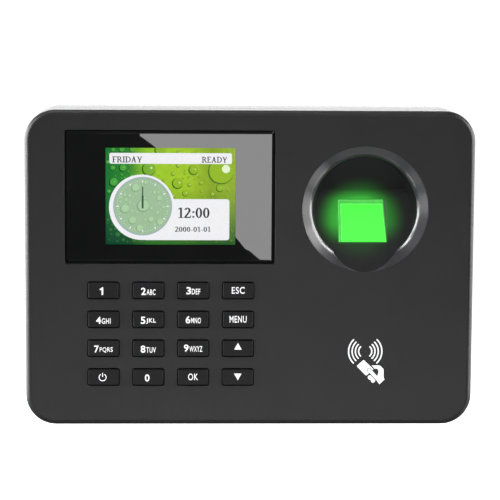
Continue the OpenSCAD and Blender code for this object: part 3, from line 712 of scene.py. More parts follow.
layer("status_bar", [[screen_bar(1.45, 30.65, 47.6, 34.75, 0.7)]], screen_y - 0.04 * mm, 0.02 * mm,
      screen_white)
dial_mid = screen_at(13.95, 14.6)
layer("clock_card", [[screen_bar(14.0, 1.75, 46.7, 17.35, 1.0)]], screen_y - 0.04 * mm, 0.02 * mm,
      screen_white)
layer("clock_ring", [[circle_outline(12.4 * mm, 96, screen_at(13.65, 14.2)),
                      circle_outline(11.1 * mm, 96, dial_mid)]],
      screen_y - 0.07 * mm, 0.03 * mm, screen_white)
layer("clock_edge", [[circle_outline(11.1 * mm, 96, dial_mid), circle_outline(10.75 * mm, 96, dial_mid)]],
      screen_y - 0.065 * mm, 0.02 * mm, screen_rim)
layer("clock_face", [[circle_outline(10.75 * mm, 96, dial_mid)]], screen_y - 0.06 * mm, 0.02 * mm,
      screen_pale)
dial_drops = [(0, 0, 2.3), (-6.8, -1.0, 1.7), (6.2, 3.0, 1.1), (-4.0, -5.4, 1.5), (3.0, -5.0, 1.2),
              (-2.8, 7.0, 1.6), (4.4, 5.2, 0.8), (6.4, -6.0, 1.3), (-1.2, -8.4, 1.4)]
while len(dial_drops) < 48:
    x, z, r = dice.uniform(-9, 9), dice.uniform(-9, 9), dice.choice((0.25, 0.35, 0.5, 0.7))
    if math.hypot(x, z) < 9.8 - r and all(math.hypot(x - p, z - q) > r + t + 0.2
                                          for p, q, t in dial_drops):
        dial_drops.append((x, z, r))
for name, shift, share, lift, colour in (
        ("dial_drop_shade", 0, 1, 0.062, (0.24, 0.4, 0.23)),
        ("dial_drop_body", 0.12, 0.87, 0.065, (0.42, 0.64, 0.38))):
    layer(name, [[circle_outline(r * share * mm, 24, dial_mid + Vector((x + shift * r, z + shift * r)) * mm)]
                 for x, z, r in dial_drops],
          screen_y - lift * mm, 0.003 * mm, screen_light(name, colour))


def turned_bar(mid, r0, r1, w, degrees):
    """A bar that points away from a dial's middle, at an angle clockwise from the top."""
    a = math.radians(degrees)
    out, side = Vector((math.sin(a), math.cos(a))), Vector((math.cos(a), -math.sin(a)))
    return [mid + out * r0 + side * w / 2, mid + out * r1 + side * w / 2,
            mid + out * r1 - side * w / 2, mid + out * r0 - side * w / 2]


ticks = [[turned_bar(dial_mid, (9.45 if k % 5 else 9.0) * mm, (9.7 if k % 5 else 9.9) * mm,
                     (0.2 if k % 5 else 0.42) * mm, 6 * k)] for k in range(60)]
layer("clock_ticks", ticks, screen_y - 0.08 * mm, 0.02 * mm, screen_white)
layer("clock_hands", [[turned_bar(dial_mid, -0.9 * mm, 7.4 * mm, 0.42 * mm, 0)],
                      [turned_bar(dial_mid, -0.7 * mm, 4.0 * mm, 0.7 * mm, 0)]],
      screen_y - 0.09 * mm, 0.01 * mm, screen_light("screen_hand", (0.04, 0.07, 0.05)))


def bar(x0, z0, x1, z1):
    """A straight stroke between two corners, for a letter one high."""
    return [[(x0, z0), (x1, z0), (x1, z1), (x0, z1)]]


def leaning(x0, z0, x1, z1, w):
    """A stroke of level width w from a foot at x0, z0 to a head at x1, z1."""
    return [[(x0, z0), (x0 + w, z0), (x1 + w, z1), (x1, z1)]]


def bowl(x, z, rx, rz, thick, thin, a0=-90, a1=90):
    """A curved stroke, thick at its side and thin at its top, between two angles."""
    turn = [math.radians(a0 + (a1 - a0) * i / 12) for i in range(13)]
    return [[(x + rx * math.cos(a), z + rz * math.sin(a)) for a in turn]
            + [(x + (rx - thick) * math.cos(a), z + (rz - thin) * math.sin(a)) for a in turn[::-1]]]


# letters with feet, as the display's own type has: width, then strokes, for a height of one
serif = {
    "F": (0.62, bar(0.1, 0, 0.25, 1) + bar(0.01, 0, 0.35, 0.1) + bar(0.01, 0.9, 0.59, 1)
          + bar(0.53, 0.78, 0.59, 0.9) + bar(0.25, 0.48, 0.45, 0.54) + bar(0.4, 0.4, 0.45, 0.62)),
    "R": (0.76, bar(0.1, 0, 0.25, 1) + bar(0.01, 0, 0.35, 0.1) + bar(0.01, 0.9, 0.33, 1)
          + bar(0.25, 0.48, 0.33, 0.54) + bowl(0.33, 0.74, 0.28, 0.26, 0.14, 0.1)
          + leaning(0.58, 0, 0.32, 0.5, 0.17)),
    "I": (0.38, bar(0.12, 0, 0.27, 1) + bar(0.02, 0, 0.37, 0.1) + bar(0.02, 0.9, 0.37, 1)),
    "D": (0.8, bar(0.1, 0, 0.25, 1) + bar(0.01, 0, 0.33, 0.1) + bar(0.01, 0.9, 0.33, 1)
          + bowl(0.33, 0.5, 0.43, 0.5, 0.15, 0.1)),
    "A": (0.78, leaning(0.07, 0, 0.33, 0.98, 0.11) + leaning(0.5, 0, 0.29, 1, 0.16)
          + bar(0.18, 0.32, 0.54, 0.38) + bar(0, 0, 0.22, 0.05) + bar(0.43, 0, 0.76, 0.05)),
    "Y": (0.74, bar(0.3, 0, 0.45, 0.46) + bar(0.21, 0, 0.54, 0.05) + leaning(0.3, 0.42, 0.05, 1, 0.16)
          + leaning(0.39, 0.42, 0.58, 1, 0.11) + bar(0, 0.95, 0.27, 1) + bar(0.5, 0.95, 0.74, 1)),
    "E": (0.66, bar(0.1, 0, 0.25, 1) + bar(0.01, 0, 0.62, 0.1) + bar(0.01, 0.9, 0.58, 1)
          + bar(0.52, 0.78, 0.58, 0.9) + bar(0.25, 0.48, 0.43, 0.54) + bar(0.38, 0.4, 0.43, 0.62)
          + bar(0.56, 0.1, 0.62, 0.26)),
    "0": (0.52, bowl(0.25, 0.5, 0.23, 0.5, 0.14, 0.09, -90, 90)
          + bowl(0.25, 0.5, -0.23, 0.5, -0.14, 0.09, -90, 90)),
    "1": (0.46, bar(0.18, 0, 0.31, 1) + bar(0.06, 0, 0.43, 0.05)
          + [[(0.04, 0.83), (0.18, 0.86), (0.18, 1), (0.04, 0.87)]]),
    "2": (0.52, bowl(0.24, 0.73, 0.22, 0.27, 0.15, 0.09, -35, 165) + bar(0.02, 0, 0.47, 0.11)
          + [[(0.02, 0.1), (0.17, 0.1), (0.42, 0.58), (0.31, 0.62)]] + bar(0.43, 0.11, 0.49, 0.24)),
    ":": (0.28, bar(0.07, 0.03, 0.21, 0.18) + bar(0.07, 0.5, 0.21, 0.65)),
    "-": (0.36, bar(0.03, 0.28, 0.31, 0.36)),
}


def serif_line(words, x, z, w, h):
    """Outlines of words w wide and h tall, in mm, whose lower left corner is at x, z."""
    full = sum(serif[c][0] for c in words)
    outlines, along = [], 0
    for c in words:
        for points in serif[c][1]:
            outlines.append([[screen_at(x + (along + px) * w / full, z + pz * h)
                              for px, pz in points]])
        along += serif[c][0]
    return outlines


layer("status_words", serif_line("FRIDAY", 2.5, 31.15, 11.3, 2.25)
      + serif_line("READY", 36.2, 31.15, 9.6, 2.25),
      screen_y - 0.06 * mm, 0.02 * mm, screen_ink)
layer("clock_words", serif_line("12:00", 27.1, 10.2, 12.3, 3.9)
      + serif_line("2000-01-01", 26.1, 4.9, 13.6, 1.95),
      screen_y - 0.06 * mm, 0.02 * mm, screen_ink)

tray_white, tree, shader, coords = material_nodes("tray_white")
tree.links.new(two_tone(tree, noise(tree, coords, 7 * mm, 3), (0.6, 0.6, 0.61),
                        (0.68, 0.68, 0.67)), shader.inputs["Base Color"])
shader.inputs["Roughness"].default_value = 0.42
relief(tree, shader, noise(tree, coords, 0.4 * mm, 3), 0.004 * mm)
finish_node("lcd_backlight", tray_white)

amber_film, tree, shader, coords = material_nodes("amber_film")
tracks = tree.nodes.new("ShaderNodeTexWave")
tracks.inputs["Scale"].default_value = 1 / (2.2 * mm)
tree.links.new(coords, tracks.inputs["Vector"])
tree.links.new(two_tone(tree, tracks.outputs["Fac"], (0.42, 0.2, 0.03), (0.6, 0.34, 0.07)),
               shader.inputs["Base Color"])
shader.inputs["Roughness"].default_value = 0.3
relief(tree, shader, tracks.outputs["Fac"], 0.01 * mm)
finish_node("lcd_flex", amber_film)

# ---- Keypad ------------------------------------------------------------------------------
# Sixteen separate hard keys, moulded in black with broken top edges and white printed legends.
# Each has a flange that keeps it behind the face, and stands on a dome of the silicone sheet.
key_plastic = moulded_plastic("key_plastic", (0.0024, 0.0024, 0.003), (0.0038, 0.0038, 0.0046),
                              0.4, 0.3 * mm, 0.006 * mm, 0.24)
legend_ink, tree, shader, coords = material_nodes("legend_ink")
tree.links.new(two_tone(tree, noise(tree, coords, 0.4 * mm, 3), (0.93, 0.93, 0.94),
                        (0.98, 0.98, 0.98)), shader.inputs["Base Color"])
shader.inputs["Roughness"].default_value = 0.45
relief(tree, shader, noise(tree, coords, 0.15 * mm, 2), 0.004 * mm)


def lettering(name, lines, y, thick, weight, body):
    """Raised letters in legend ink: each line is (words, left, foot, width, height) in metres."""
    bm = bmesh.new()
    for words, left, foot, width, height in lines:
        curve = bpy.data.curves.new(name, "FONT")
        curve.body = words
        curve.offset = weight if len(words) == 1 else weight * 0.5
        curve.space_character = 1.1
        curve.resolution_u = 4
        maker = bpy.data.objects.new(name + "_maker", curve)
        bpy.context.scene.collection.objects.link(maker)
        bpy.context.view_layer.update()
        flat = bpy.data.meshes.new_from_object(maker)
        bpy.data.objects.remove(maker)
        bpy.data.curves.remove(curve)
        xs = [v.co.x for v in flat.vertices]
        zs = [v.co.y for v in flat.vertices]
        sx, sz = width / (max(xs) - min(xs)), height / (max(zs) - min(zs))
        letters = bmesh.new()
        letters.from_mesh(flat)
        for v in letters.verts:
            v.co = Vector((left + (v.co.x - min(xs)) * sx, y, foot + (v.co.y - min(zs)) * sz))
        bmesh.ops.remove_doubles(letters, verts=letters.verts, dist=1e-7)
        made = bmesh.ops.extrude_face_region(letters, geom=letters.faces[:])
        moved = [g for g in made["geom"] if isinstance(g, bmesh.types.BMVert)]
        bmesh.ops.translate(letters, verts=moved, vec=(0, thick, 0))
        letters.to_mesh(flat)
        letters.free()
        bm.from_mesh(flat)
        bpy.data.meshes.remove(flat)
    return piece(name, bm, [legend_ink], body, weld=1e-8)


key_edge, legend_proud, legend_thick = 0.32 * mm, 0.012 * mm, 0.03 * mm
legends = {"key_1": ("1", ""), "key_2": ("2", "ABC"), "key_3": ("3", "DEF"),
           "key_4": ("4", "GHI"), "key_5": ("5", "JKL"), "key_6": ("6", "MNO"),
           "key_7": ("7", "PQRS"), "key_8": ("8", "TUV"), "key_9": ("9", "WXYZ"),
           "key_0": ("0", ""), "key_esc": ("", "ESC"), "key_menu": ("", "MENU"),
           "key_ok": ("", "OK")}
legend_lift = {"key_esc": 0.5, "key_menu": 0.5, "key_ok": 0.5, "key_3": 0.25, "key_6": 0.25,
               "key_9": 0.4}
legend_left = {"key_1": 0.8, "key_0": 0.45}
digit_height, small_height, word_height = 2.8 * mm, 2.15 * mm, 2.6 * mm
digit_widths = {"": 0, "1": 1.3}
letter_widths = {"ESC": 4.9, "MENU": 6.5, "OK": 3.8, "ABC": 3.4, "DEF": 3.2, "GHI": 3.35}
letter_gap = 0.28 * mm
figure_one = [(0.78, 0), (1.42, 0), (1.42, 2.95), (0.92, 2.95), (0.72, 2.55), (0.1, 2.3),
              (0.1, 1.83), (0.78, 1.98)]

for name in key_names:
    low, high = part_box(name)
    mid = key_mids[name]
    flange_w, flange_h = high.x - low.x, high.z - low.z
    bm = bmesh.new()
    flange_y = inside_y + 0.1 * mm
    rings = [ring_at(bm, rounded_outline(flange_w, flange_h, 0.4 * mm, 5, mid), y)
             for y in (high.y, flange_y)]
    rings.append(ring_at(bm, rounded_outline(key_w, key_h, key_corner, 5, mid), flange_y))
    for k in range(6):
        a = math.radians(18 * k)
        i = key_edge * (1 - math.cos(a))
        rings.append(ring_at(bm, rounded_outline(key_w - 2 * i, key_h - 2 * i,
                                                 key_corner - i * 0.8, 5, mid),
                             low.y + key_edge * (1 - math.sin(a))))
    skin(bm, rings)
    web(bm, rings[0])
    web(bm, rings[-1])
    cap = piece(name + "_cap", bm, [key_plastic], body=name, crease=40)
    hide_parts(name)

    shapes = []
    if name in legends:
        digit, letters = legends[name]
        foot = mid.y + (legend_lift.get(name, 0) - 1.62) * mm
        digit_w = digit_widths.get(digit, 1.78) * mm
        letter_w = letter_widths.get(letters, 1.24 * len(letters)) * mm
        gap = letter_gap if digit and letters else 0
        left = mid.x - (digit_w + letter_w + gap) / 2 - legend_left.get(name, 0) * mm
        lines = []
        if digit == "1":
            shapes = [[[Vector((left + x * mm, foot + z * mm)) for x, z in figure_one]]]
        elif digit:
            lines.append((digit, left, foot, digit_w, digit_height))
        if letters:
            lines.append((letters, left + digit_w + gap, foot, letter_w,
                          small_height if digit else word_height))
        if lines:
            lettering(name + "_legend", lines, low.y - legend_proud, legend_thick, 0.022, name)
    elif name in ("key_up", "key_down"):
        s = 1 if name == "key_up" else -1
        lift = mid.y + (0.9 if s > 0 else 0.2) * mm
        shape = [Vector((mid.x - 1.45 * mm, lift - s * 1.28 * mm)),
                 Vector((mid.x + 1.45 * mm, lift - s * 1.28 * mm)),
                 Vector((mid.x, lift + s * 1.28 * mm))]
        shapes = [[shape[::s]]]
    else:
        mid = mid - Vector((0.35 * mm, 0))
        arc = []
        for r, turn in ((1.5 * mm, range(30, 331, 12)), (1.16 * mm, range(330, 29, -12))):
            arc += [Vector((mid.x + r * math.sin(math.radians(t)),
                            mid.y + r * math.cos(math.radians(t)))) for t in turn]
        stem = rounded_outline(0.36 * mm, 1.6 * mm, 0.17 * mm, 4,
                               Vector((mid.x, mid.y + 0.95 * mm)))
        shapes = [[arc[::-1]], [stem]]
    if shapes:
        layer(name + "_legend", shapes, low.y - legend_proud, legend_thick, legend_ink, body=name)

silicone, tree, shader, coords = material_nodes("silicone_sheet")
tree.links.new(two_tone(tree, noise(tree, coords, 5 * mm, 3), (0.28, 0.29, 0.31),
                        (0.34, 0.35, 0.37)), shader.inputs["Base Color"])
tree.links.new(ranged(tree, noise(tree, coords, 0.5 * mm, 3), 0.55, 0.7),
               shader.inputs["Roughness"])
relief(tree, shader, noise(tree, coords, 0.3 * mm, 3), 0.01 * mm)
finish_node("keypad_mat", silicone)


def plated_metal(name, dark, light, rough, size, stretch, depth):
    """Metal with rolled or turned marks: stretched noise in colour, gloss and bump."""
    material, tree, shader, coords = material_nodes(name)
    marks = noise(tree, coords, size, 4, 0.6, stretch)
    tree.links.new(two_tone(tree, marks, dark, light), shader.inputs["Base Color"])
    tree.links.new(ranged(tree, marks, rough - 0.06, rough + 0.1), shader.inputs["Roughness"])
    shader.inputs["Metallic"].default_value = 1
    relief(tree, shader, marks, depth)
    return material


gold = plated_metal("gold_plate", (0.65, 0.42, 0.14), (0.8, 0.55, 0.2), 0.3, 0.5 * mm,
                    (1, 1, 1), 0.003 * mm)
finish_node("contact_pads", gold)

# ---- Card sign ---------------------------------------------------------------------------
# White print on the face over the card antenna: a hand that holds a card, between two sets of
# round waves. It is screen printed, so it stands a hundredth of a millimetre above the face.
sign_mid = Vector((44.1 * mm, -31.55 * mm))
stroke = 0.53 * mm


def sign_point(x, z):
    """A point of the sign, in mm from the middle of its waves."""
    return Vector((sign_mid.x + x * mm, sign_mid.y + z * mm))


def arc_points(mid, r, a0, a1, steps):
    """Points on a circle from angle a0 to a1, in degrees anticlockwise from level."""
    turn = [math.radians(a0 + (a1 - a0) * k / steps) for k in range(steps + 1)]
    return [mid + r * Vector((math.cos(a), math.sin(a))) for a in turn]


def wave(r, side):
    """Outline of a round-ended arc that opens 45 degrees either side of level."""
    a0, a1 = (-45, 45) if side > 0 else (135, 225)
    start, end = arc_points(sign_mid, r, a0, a1, 1)
    return [*arc_points(sign_mid, r + stroke / 2, a0, a1, 24),
            *arc_points(end, stroke / 2, a1, a1 + 180, 8)[1:-1],
            *arc_points(sign_mid, r - stroke / 2, a1, a0, 24),
            *arc_points(start, stroke / 2, a0 + 180, a0 + 360, 8)[1:-1]]


def softened(points, radius, steps):
    """A closed outline with its corners rounded."""
    out = []
    n = len(points)
    for i in range(n):
        out += rounded_corner(points[i - 1], points[i], points[(i + 1) % n], radius, steps)
    return out


waves = [[wave(r * mm, side)] for r in (2.5, 3.75, 5.0, 6.35) for side in (-1, 1)]
finger_at, finger_r, finger_gap = sign_point(1.58, -7.17), 0.66 * mm, 0.17 * mm
finger_turn = -47


def finger_edge(r, along):
    """Points round the finger tip, from its lower edge to its upper, at a distance along it."""
    ahead = Vector((math.cos(math.radians(finger_turn)), math.sin(math.radians(finger_turn))))
    rest = arc_points(finger_at, r, finger_turn - 90, finger_turn - 270, 8)
    return [rest[0] + ahead * along[0], *rest, rest[-1] + ahead * along[1]]


notch = finger_edge(finger_r + finger_gap, (0.94 * mm, 0.96 * mm))
card_corners = [sign_point(x, z) for x, z in (
    (3.0, -7.15), (3.28, -6.91), (-0.57, -3.21), (-3.25, -5.66), (0.45, -9.47), (1.62, -8.41))]
card = []
for k, radius in enumerate((0.2, 0.5, 0.5, 0.5)):
    card += rounded_corner(*card_corners[k:k + 3], radius * mm, 4)
card += notch
back_and_wrist = ((2.44, -5.42), (5.3, -5.36), (5.8, -5.55), (6.95, -6.65), (7.15, -7.1),
                  (7.17, -10.0), (7.55, -10.87), (5.6, -12.75))
thumb = ((5.15, -8.1), (5.08, -7.3), (4.75, -6.8), (4.2, -6.64), (3.62, -6.72), (3.35, -6.35))
hand = [sign_point(x, z) for x, z in back_and_wrist]
hand += finger_edge(finger_r, (4.9 * mm, 3.9 * mm))
hand += [sign_point(x, z) for x, z in thumb]
knuckles = softened([sign_point(x, z) for x, z in (
    (2.1, -9.15), (1.45, -9.3), (1.0, -9.95), (1.3, -10.65), (1.8, -11.0), (2.2, -10.95),
    (2.35, -11.75), (2.9, -12.15), (3.5, -12.1), (4.0, -11.45), (4.0, -11.15))], 0.25 * mm, 3)
layer("card_sign", [*waves, [card], [hand], [knuckles]], face_y - 0.012 * mm, 0.03 * mm, legend_ink)

# ---- Optical reader ----------------------------------------------------------------------
# The window is the face of a clear prism, lit green from inside by four LEDs; that light is painted as glow
# on the prism and on thin plates over the window, with painted bright lines at its ground edges. Behind it a
# black housing holds the lens barrel and the image board, on a rubber gasket.
reader_turn = Matrix.Rotation(-ramp_angle, 4, "X")
reader_at = Matrix.Translation((window_x, face_y + window_depth, window_z)) @ reader_turn


def in_reader(x, y, z):
    """A point measured from the window's middle: y into the ramp and z up the ramp."""
    return reader_at @ Vector((x, y, z))


def lit_acrylic(name, first, second, strength):
    """Clear plastic lit from inside, its light painted on as glow, with slow changes in its light."""
    material, tree, shader, coords = material_nodes(name)
    shader.inputs["Base Color"].default_value = (0.03, 0.1, 0.03, 1)
    shader.inputs["Roughness"].default_value = 0.12
    shader.inputs["Specular IOR Level"].default_value = 0.1
    cloud = noise(tree, coords, 3 * mm, 2)
    tree.links.new(two_tone(tree, cloud, first, second),
                   shader.inputs["Emission Color"])
    shader.inputs["Emission Strength"].default_value = strength
    relief(tree, shader, cloud, 0.004 * mm, 0.3)
    return material


window_green = lit_acrylic("window_green", (0.038, 1.0, 0.028), (0.045, 1.0, 0.034), 1.1)
edge_green = lit_acrylic("edge_green", (0.03, 0.5, 0.03), (0.045, 0.6, 0.042), 1.0)
line_green = lit_acrylic("line_green", (0.17, 0.85, 0.17), (0.22, 0.95, 0.22), 1.0)
# painted shade: the dim strip of the window that the LEDs don't reach
painted_shade_green = lit_acrylic("painted_shade_green", (0.006, 0.035, 0.006), (0.009, 0.05, 0.009), 1.0)
prism_glass = lit_acrylic("prism_green", (0.025, 0.33, 0.025), (0.032, 0.42, 0.032), 1.0)
finish_node("sensor_prism", prism_glass)


def reader_quad(bm, corners, y0, y1, material):
    """A thin plate on the window, from its corners in mm."""
    front_ring = [bm.verts.new(in_reader(x * mm, y0, z * mm)) for x, z in corners]
    back_ring = [bm.verts.new(in_reader(x * mm, y1, z * mm)) for x, z in corners]
    skin(bm, [front_ring, back_ring], material)
    bm.faces.new(front_ring).material_index = material
    bm.faces.new(back_ring[::-1]).material_index = material


def window_line(bm, a, b, width):
    """A painted bright line of light at a ground edge of the glass between two points, in mm."""
    a, b = Vector(a), Vector(b)
    along = (b - a).normalized()
    over = Vector((-along.y, along.x)) * width / 2
    reader_quad(bm, [a - over, b - over, b + over, a + over], -0.365 * mm, -0.35 * mm, 2)


# the pane, the part of it that shines, and a strip on the right that the LEDs don't reach: painted glow on
# the pane, and painted shade on the strip
pane = [(-9.0, -8.3), (8.9, -8.3), (7.9, 7.7), (-9.2, 7.7)]
lit_part = [(-8.1, -8.25), (8.75, -8.25), (7.45, 6.45), (-8.35, 6.45)]
dark_side = [(7.9, 8.4), (9.2, 8.4), (9.2, -8.4), (8.98, -8.4)]
bm = bmesh.new()
reader_quad(bm, pane, -0.32 * mm, -0.3 * mm, 1)
reader_quad(bm, lit_part, -0.35 * mm, -0.32 * mm, 0)
reader_quad(bm, dark_side, -0.34 * mm, -0.32 * mm, 3)
for corners, first, last, width in ((lit_part, 0, 3, 0.16), (lit_part, 3, 2, 0.2),
                                    (lit_part, 2, 1, 0.12), (pane, 0, 3, 0.14),
                                    (pane, 3, 2, 0.12)):
    window_line(bm, corners[first], corners[last], width)
window = piece("lit_window", bm, [window_green, edge_green, line_green, painted_shade_green],
               weld=1e-8)
window.visible_glossy = False

rubber = moulded_plastic("gasket_rubber", (0.011, 0.011, 0.011), (0.018, 0.018, 0.018), 0.75,
                         0.4 * mm, 0.01 * mm)
finish_node("sensor_gasket", rubber)
reader_plastic = moulded_plastic("reader_plastic", (0.018, 0.018, 0.02), (0.028, 0.028, 0.03),
                                 0.5, 0.4 * mm, 0.01 * mm)
finish_node("sensor_housing", reader_plastic)
barrel_black = moulded_plastic("barrel_black", (0.008, 0.008, 0.009), (0.014, 0.014, 0.015),
                               0.4, 0.2 * mm, 0.006 * mm)
finish_node("lens_barrel", barrel_black)


def circuit_board(name, dark, light, pitch):
    """Solder mask over copper tracks: square-cornered lanes a little lighter and raised."""
    material, tree, shader, coords = material_nodes(name)
    lanes = tree.nodes.new("ShaderNodeTexVoronoi")
    lanes.distance = "CHEBYCHEV"
    lanes.inputs["Scale"].default_value = 1 / pitch
    lanes.inputs["Randomness"].default_value = 0.7
    tree.links.new(coords, lanes.inputs["Vector"])
    tree.links.new(two_tone(tree, lanes.outputs["Distance"], dark, light, 0.3, 0.36),
                   shader.inputs["Base Color"])
    tree.links.new(ranged(tree, noise(tree, coords, 2 * mm, 3), 0.28, 0.42),
                   shader.inputs["Roughness"])
    relief(tree, shader, lanes.outputs["Distance"], 0.03 * mm, 0.6)
    return material


white_board = circuit_board("white_board", (0.6, 0.6, 0.57), (0.68, 0.68, 0.65), 1.6 * mm)
finish_node("led_board", white_board)
finish_node("green_leds", lit_acrylic("led_green", (0.2, 1.0, 0.2), (0.3, 1.0, 0.3), 2.0))
blue_board = circuit_board("blue_board", (0.008, 0.07, 0.16), (0.015, 0.12, 0.24), 1.4 * mm)
finish_node("image_board", blue_board)
chip_black = moulded_plastic("chip_black", (0.012, 0.012, 0.013), (0.02, 0.02, 0.021), 0.55,
                             0.25 * mm, 0.008 * mm)
finish_node("image_chip", chip_black)
screw_steel = plated_metal("screw_steel", (0.45, 0.45, 0.46), (0.62, 0.62, 0.63), 0.32, 0.7 * mm,
                           (1, 3, 1), 0.006 * mm)
finish_node("sensor_screws", screw_steel)
cable_black = moulded_plastic("cable_black", (0.012, 0.012, 0.012), (0.02, 0.02, 0.02), 0.55,
                              0.5 * mm, 0.012 * mm)
finish_node("sensor_cable", cable_black)

# ---- Boards and what stands on them ------------------------------------------------------
# Green glass-fibre boards: the main board with processor, memory, clock cell and capacitors,
# the port board, and the card reader's board with its copper antenna.
green_board = circuit_board("green_board", (0.006, 0.07, 0.025), (0.012, 0.115, 0.045), 1.8 * mm)
for name, material in (("main_board", green_board), ("io_board", green_board),
                       ("rfid_board", green_board), ("processor", chip_black),
                       ("memory_chips", chip_black), ("coin_holder", reader_plastic),
                       ("header_strip", reader_plastic), ("board_screws", screw_steel),
                       ("io_screws", screw_steel)):
    finish_node(name, material)
cell_steel = plated_metal("cell_steel", (0.55, 0.55, 0.56), (0.72, 0.72, 0.72), 0.25, 1.5 * mm,
                          (1, 1, 4), 0.003 * mm)
finish_node("coin_cell", cell_steel)
sleeve = moulded_plastic("capacitor_sleeve", (0.02, 0.03, 0.09), (0.03, 0.045, 0.13), 0.35,
                         0.8 * mm, 0.006 * mm)
finish_node("capacitors", sleeve)
nylon = moulded_plastic("connector_nylon", (0.6, 0.58, 0.52), (0.7, 0.68, 0.62), 0.4, 0.6 * mm,
                        0.006 * mm)
finish_node("board_connectors", nylon)
copper = plated_metal("copper_track", (0.62, 0.28, 0.14), (0.8, 0.42, 0.24), 0.35, 0.8 * mm,
                      (1, 1, 1), 0.004 * mm)
finish_node("rfid_coil", copper)

# ---- Loudspeaker -------------------------------------------------------------------------
# A small round loudspeaker behind the grille in the back: pressed steel frame, paper cone,
# ferrite magnet and a pair of red wires to the main board.
frame_steel = plated_metal("speaker_steel", (0.4, 0.4, 0.41), (0.52, 0.52, 0.53), 0.38, 1 * mm,
                           (1, 1, 1), 0.006 * mm)
finish_node("speaker_frame", frame_steel)
paper = moulded_plastic("speaker_paper", (0.02, 0.02, 0.02), (0.04, 0.04, 0.038), 0.85, 0.5 * mm,
                        0.03 * mm)
finish_node("speaker_cone", paper)
ferrite = moulded_plastic("magnet_ferrite", (0.05, 0.05, 0.052), (0.08, 0.08, 0.082), 0.5,
                          0.6 * mm, 0.02 * mm)
finish_node("speaker_magnet", ferrite)
wire_red = moulded_plastic("wire_red", (0.35, 0.015, 0.012), (0.45, 0.025, 0.02), 0.4, 0.6 * mm,
                           0.006 * mm)
finish_node("speaker_wires", wire_red)

# ---- Ports -------------------------------------------------------------------------------
# Sockets that open in the underside: a folded tin-plated steel shell round a plastic tongue,
# and a black barrel socket for power with its centre pin.
port_steel = plated_metal("port_steel", (0.5, 0.5, 0.51), (0.66, 0.66, 0.67), 0.3, 1 * mm,
                          (1, 1, 5), 0.005 * mm)
finish_node("usb_port", port_steel)
finish_node("dc_jack", barrel_black)

# ---- Wall plate and its screws -----------------------------------------------------------
# Pressed steel, 1.2 mm, zinc plated so that faint crystals show. Four hooks and a tab hold
# the terminal, and a black screw locks it from below. Black screws also close the shells.
zinc, tree, shader, coords = material_nodes("zinc_plate")
crystals = tree.nodes.new("ShaderNodeTexVoronoi")
crystals.inputs["Scale"].default_value = 1 / (5 * mm)
tree.links.new(coords, crystals.inputs["Vector"])
tree.links.new(two_tone(tree, crystals.outputs["Color"], (0.5, 0.51, 0.53), (0.55, 0.56, 0.58)),
               shader.inputs["Base Color"])
tree.links.new(ranged(tree, crystals.outputs["Color"], 0.4, 0.46), shader.inputs["Roughness"])
shader.inputs["Metallic"].default_value = 1
relief(tree, shader, noise(tree, coords, 0.9 * mm, 4), 0.008 * mm)
finish_node("wall_plate", zinc)
screw_black = plated_metal("screw_black", (0.05, 0.05, 0.055), (0.09, 0.09, 0.095), 0.38,
                           0.6 * mm, (1, 3, 1), 0.006 * mm)
finish_node("case_screws", screw_black)
finish_node("lock_screw", screw_black)

# ---- Studio floor and air ----------------------------------------------------------------
# A pale paper floor well below the hung terminal, and bright air behind the terminal that
# darkens towards the front. The floor throws no shadow, and nothing mirrors it.
scene = bpy.context.scene
scene.view_settings.view_transform = "Standard"

bm = bmesh.new()
bmesh.ops.create_grid(bm, x_segments=8, y_segments=8, size=4)
mesh = bpy.data.meshes.new("studio_floor")
bm.to_mesh(mesh)
bm.free()
floor = bpy.data.objects.new("studio_floor", mesh)
floor.location = (0, 0, -0.3)
scene.collection.objects.link(floor)
pale, tree, shader, coords = material_nodes("pale_paper")
tree.links.new(two_tone(tree, noise(tree, coords, 0.4, 3), (0.9, 0.9, 0.9), (0.93, 0.93, 0.93)),
               shader.inputs["Base Color"])
shader.inputs["Roughness"].default_value = 0.8
shader.inputs["Emission Color"].default_value = (1, 1, 1, 1)
shader.inputs["Emission Strength"].default_value = 0.75
relief(tree, shader, noise(tree, coords, 0.003, 3), 0.0002)
mesh.materials.append(pale)
floor.visible_glossy = False
floor.visible_diffuse = False
floor.visible_shadow = False

world = bpy.data.worlds.new("studio_air")
scene.world = world
world.use_nodes = True
tree = world.node_tree
tree.nodes.clear()
air = tree.nodes.new("ShaderNodeTexCoord")
parts = tree.nodes.new("ShaderNodeSeparateXYZ")
tree.links.new(air.outputs["Generated"], parts.inputs["Vector"])
behind = ranged(tree, parts.outputs["Y"], 0.12, 1.2, -0.1, 0.75)
above = ranged(tree, parts.outputs["Z"], 0.25, 1.0, -0.35, 0.25)
strength = tree.nodes.new("ShaderNodeMath")
strength.operation = "MULTIPLY"
tree.links.new(behind, strength.inputs[0])
tree.links.new(above, strength.inputs[1])
room = tree.nodes.new("ShaderNodeBackground")
tree.links.new(strength.outputs["Value"], room.inputs["Strength"])
paper_white = tree.nodes.new("ShaderNodeBackground")
paper_white.inputs["Color"].default_value = (1, 1, 1, 1)
paper_white.inputs["Strength"].default_value = 1.1
seen = tree.nodes.new("ShaderNodeLightPath")
either = tree.nodes.new("ShaderNodeMixShader")
tree.links.new(seen.outputs["Is Camera Ray"], either.inputs["Fac"])
tree.links.new(room.outputs["Background"], either.inputs[1])
tree.links.new(paper_white.outputs["Background"], either.inputs[2])
out = tree.nodes.new("ShaderNodeOutputWorld")
tree.links.new(either.outputs["Shader"], out.inputs["Surface"])

# ---- Soft boxes --------------------------------------------------------------------------
# Rectangular lights round the terminal. The strips at its sides draw the bright lines on the
# rim and lip of the finger cup, the low ones lift the face, and the back one lights its edges.


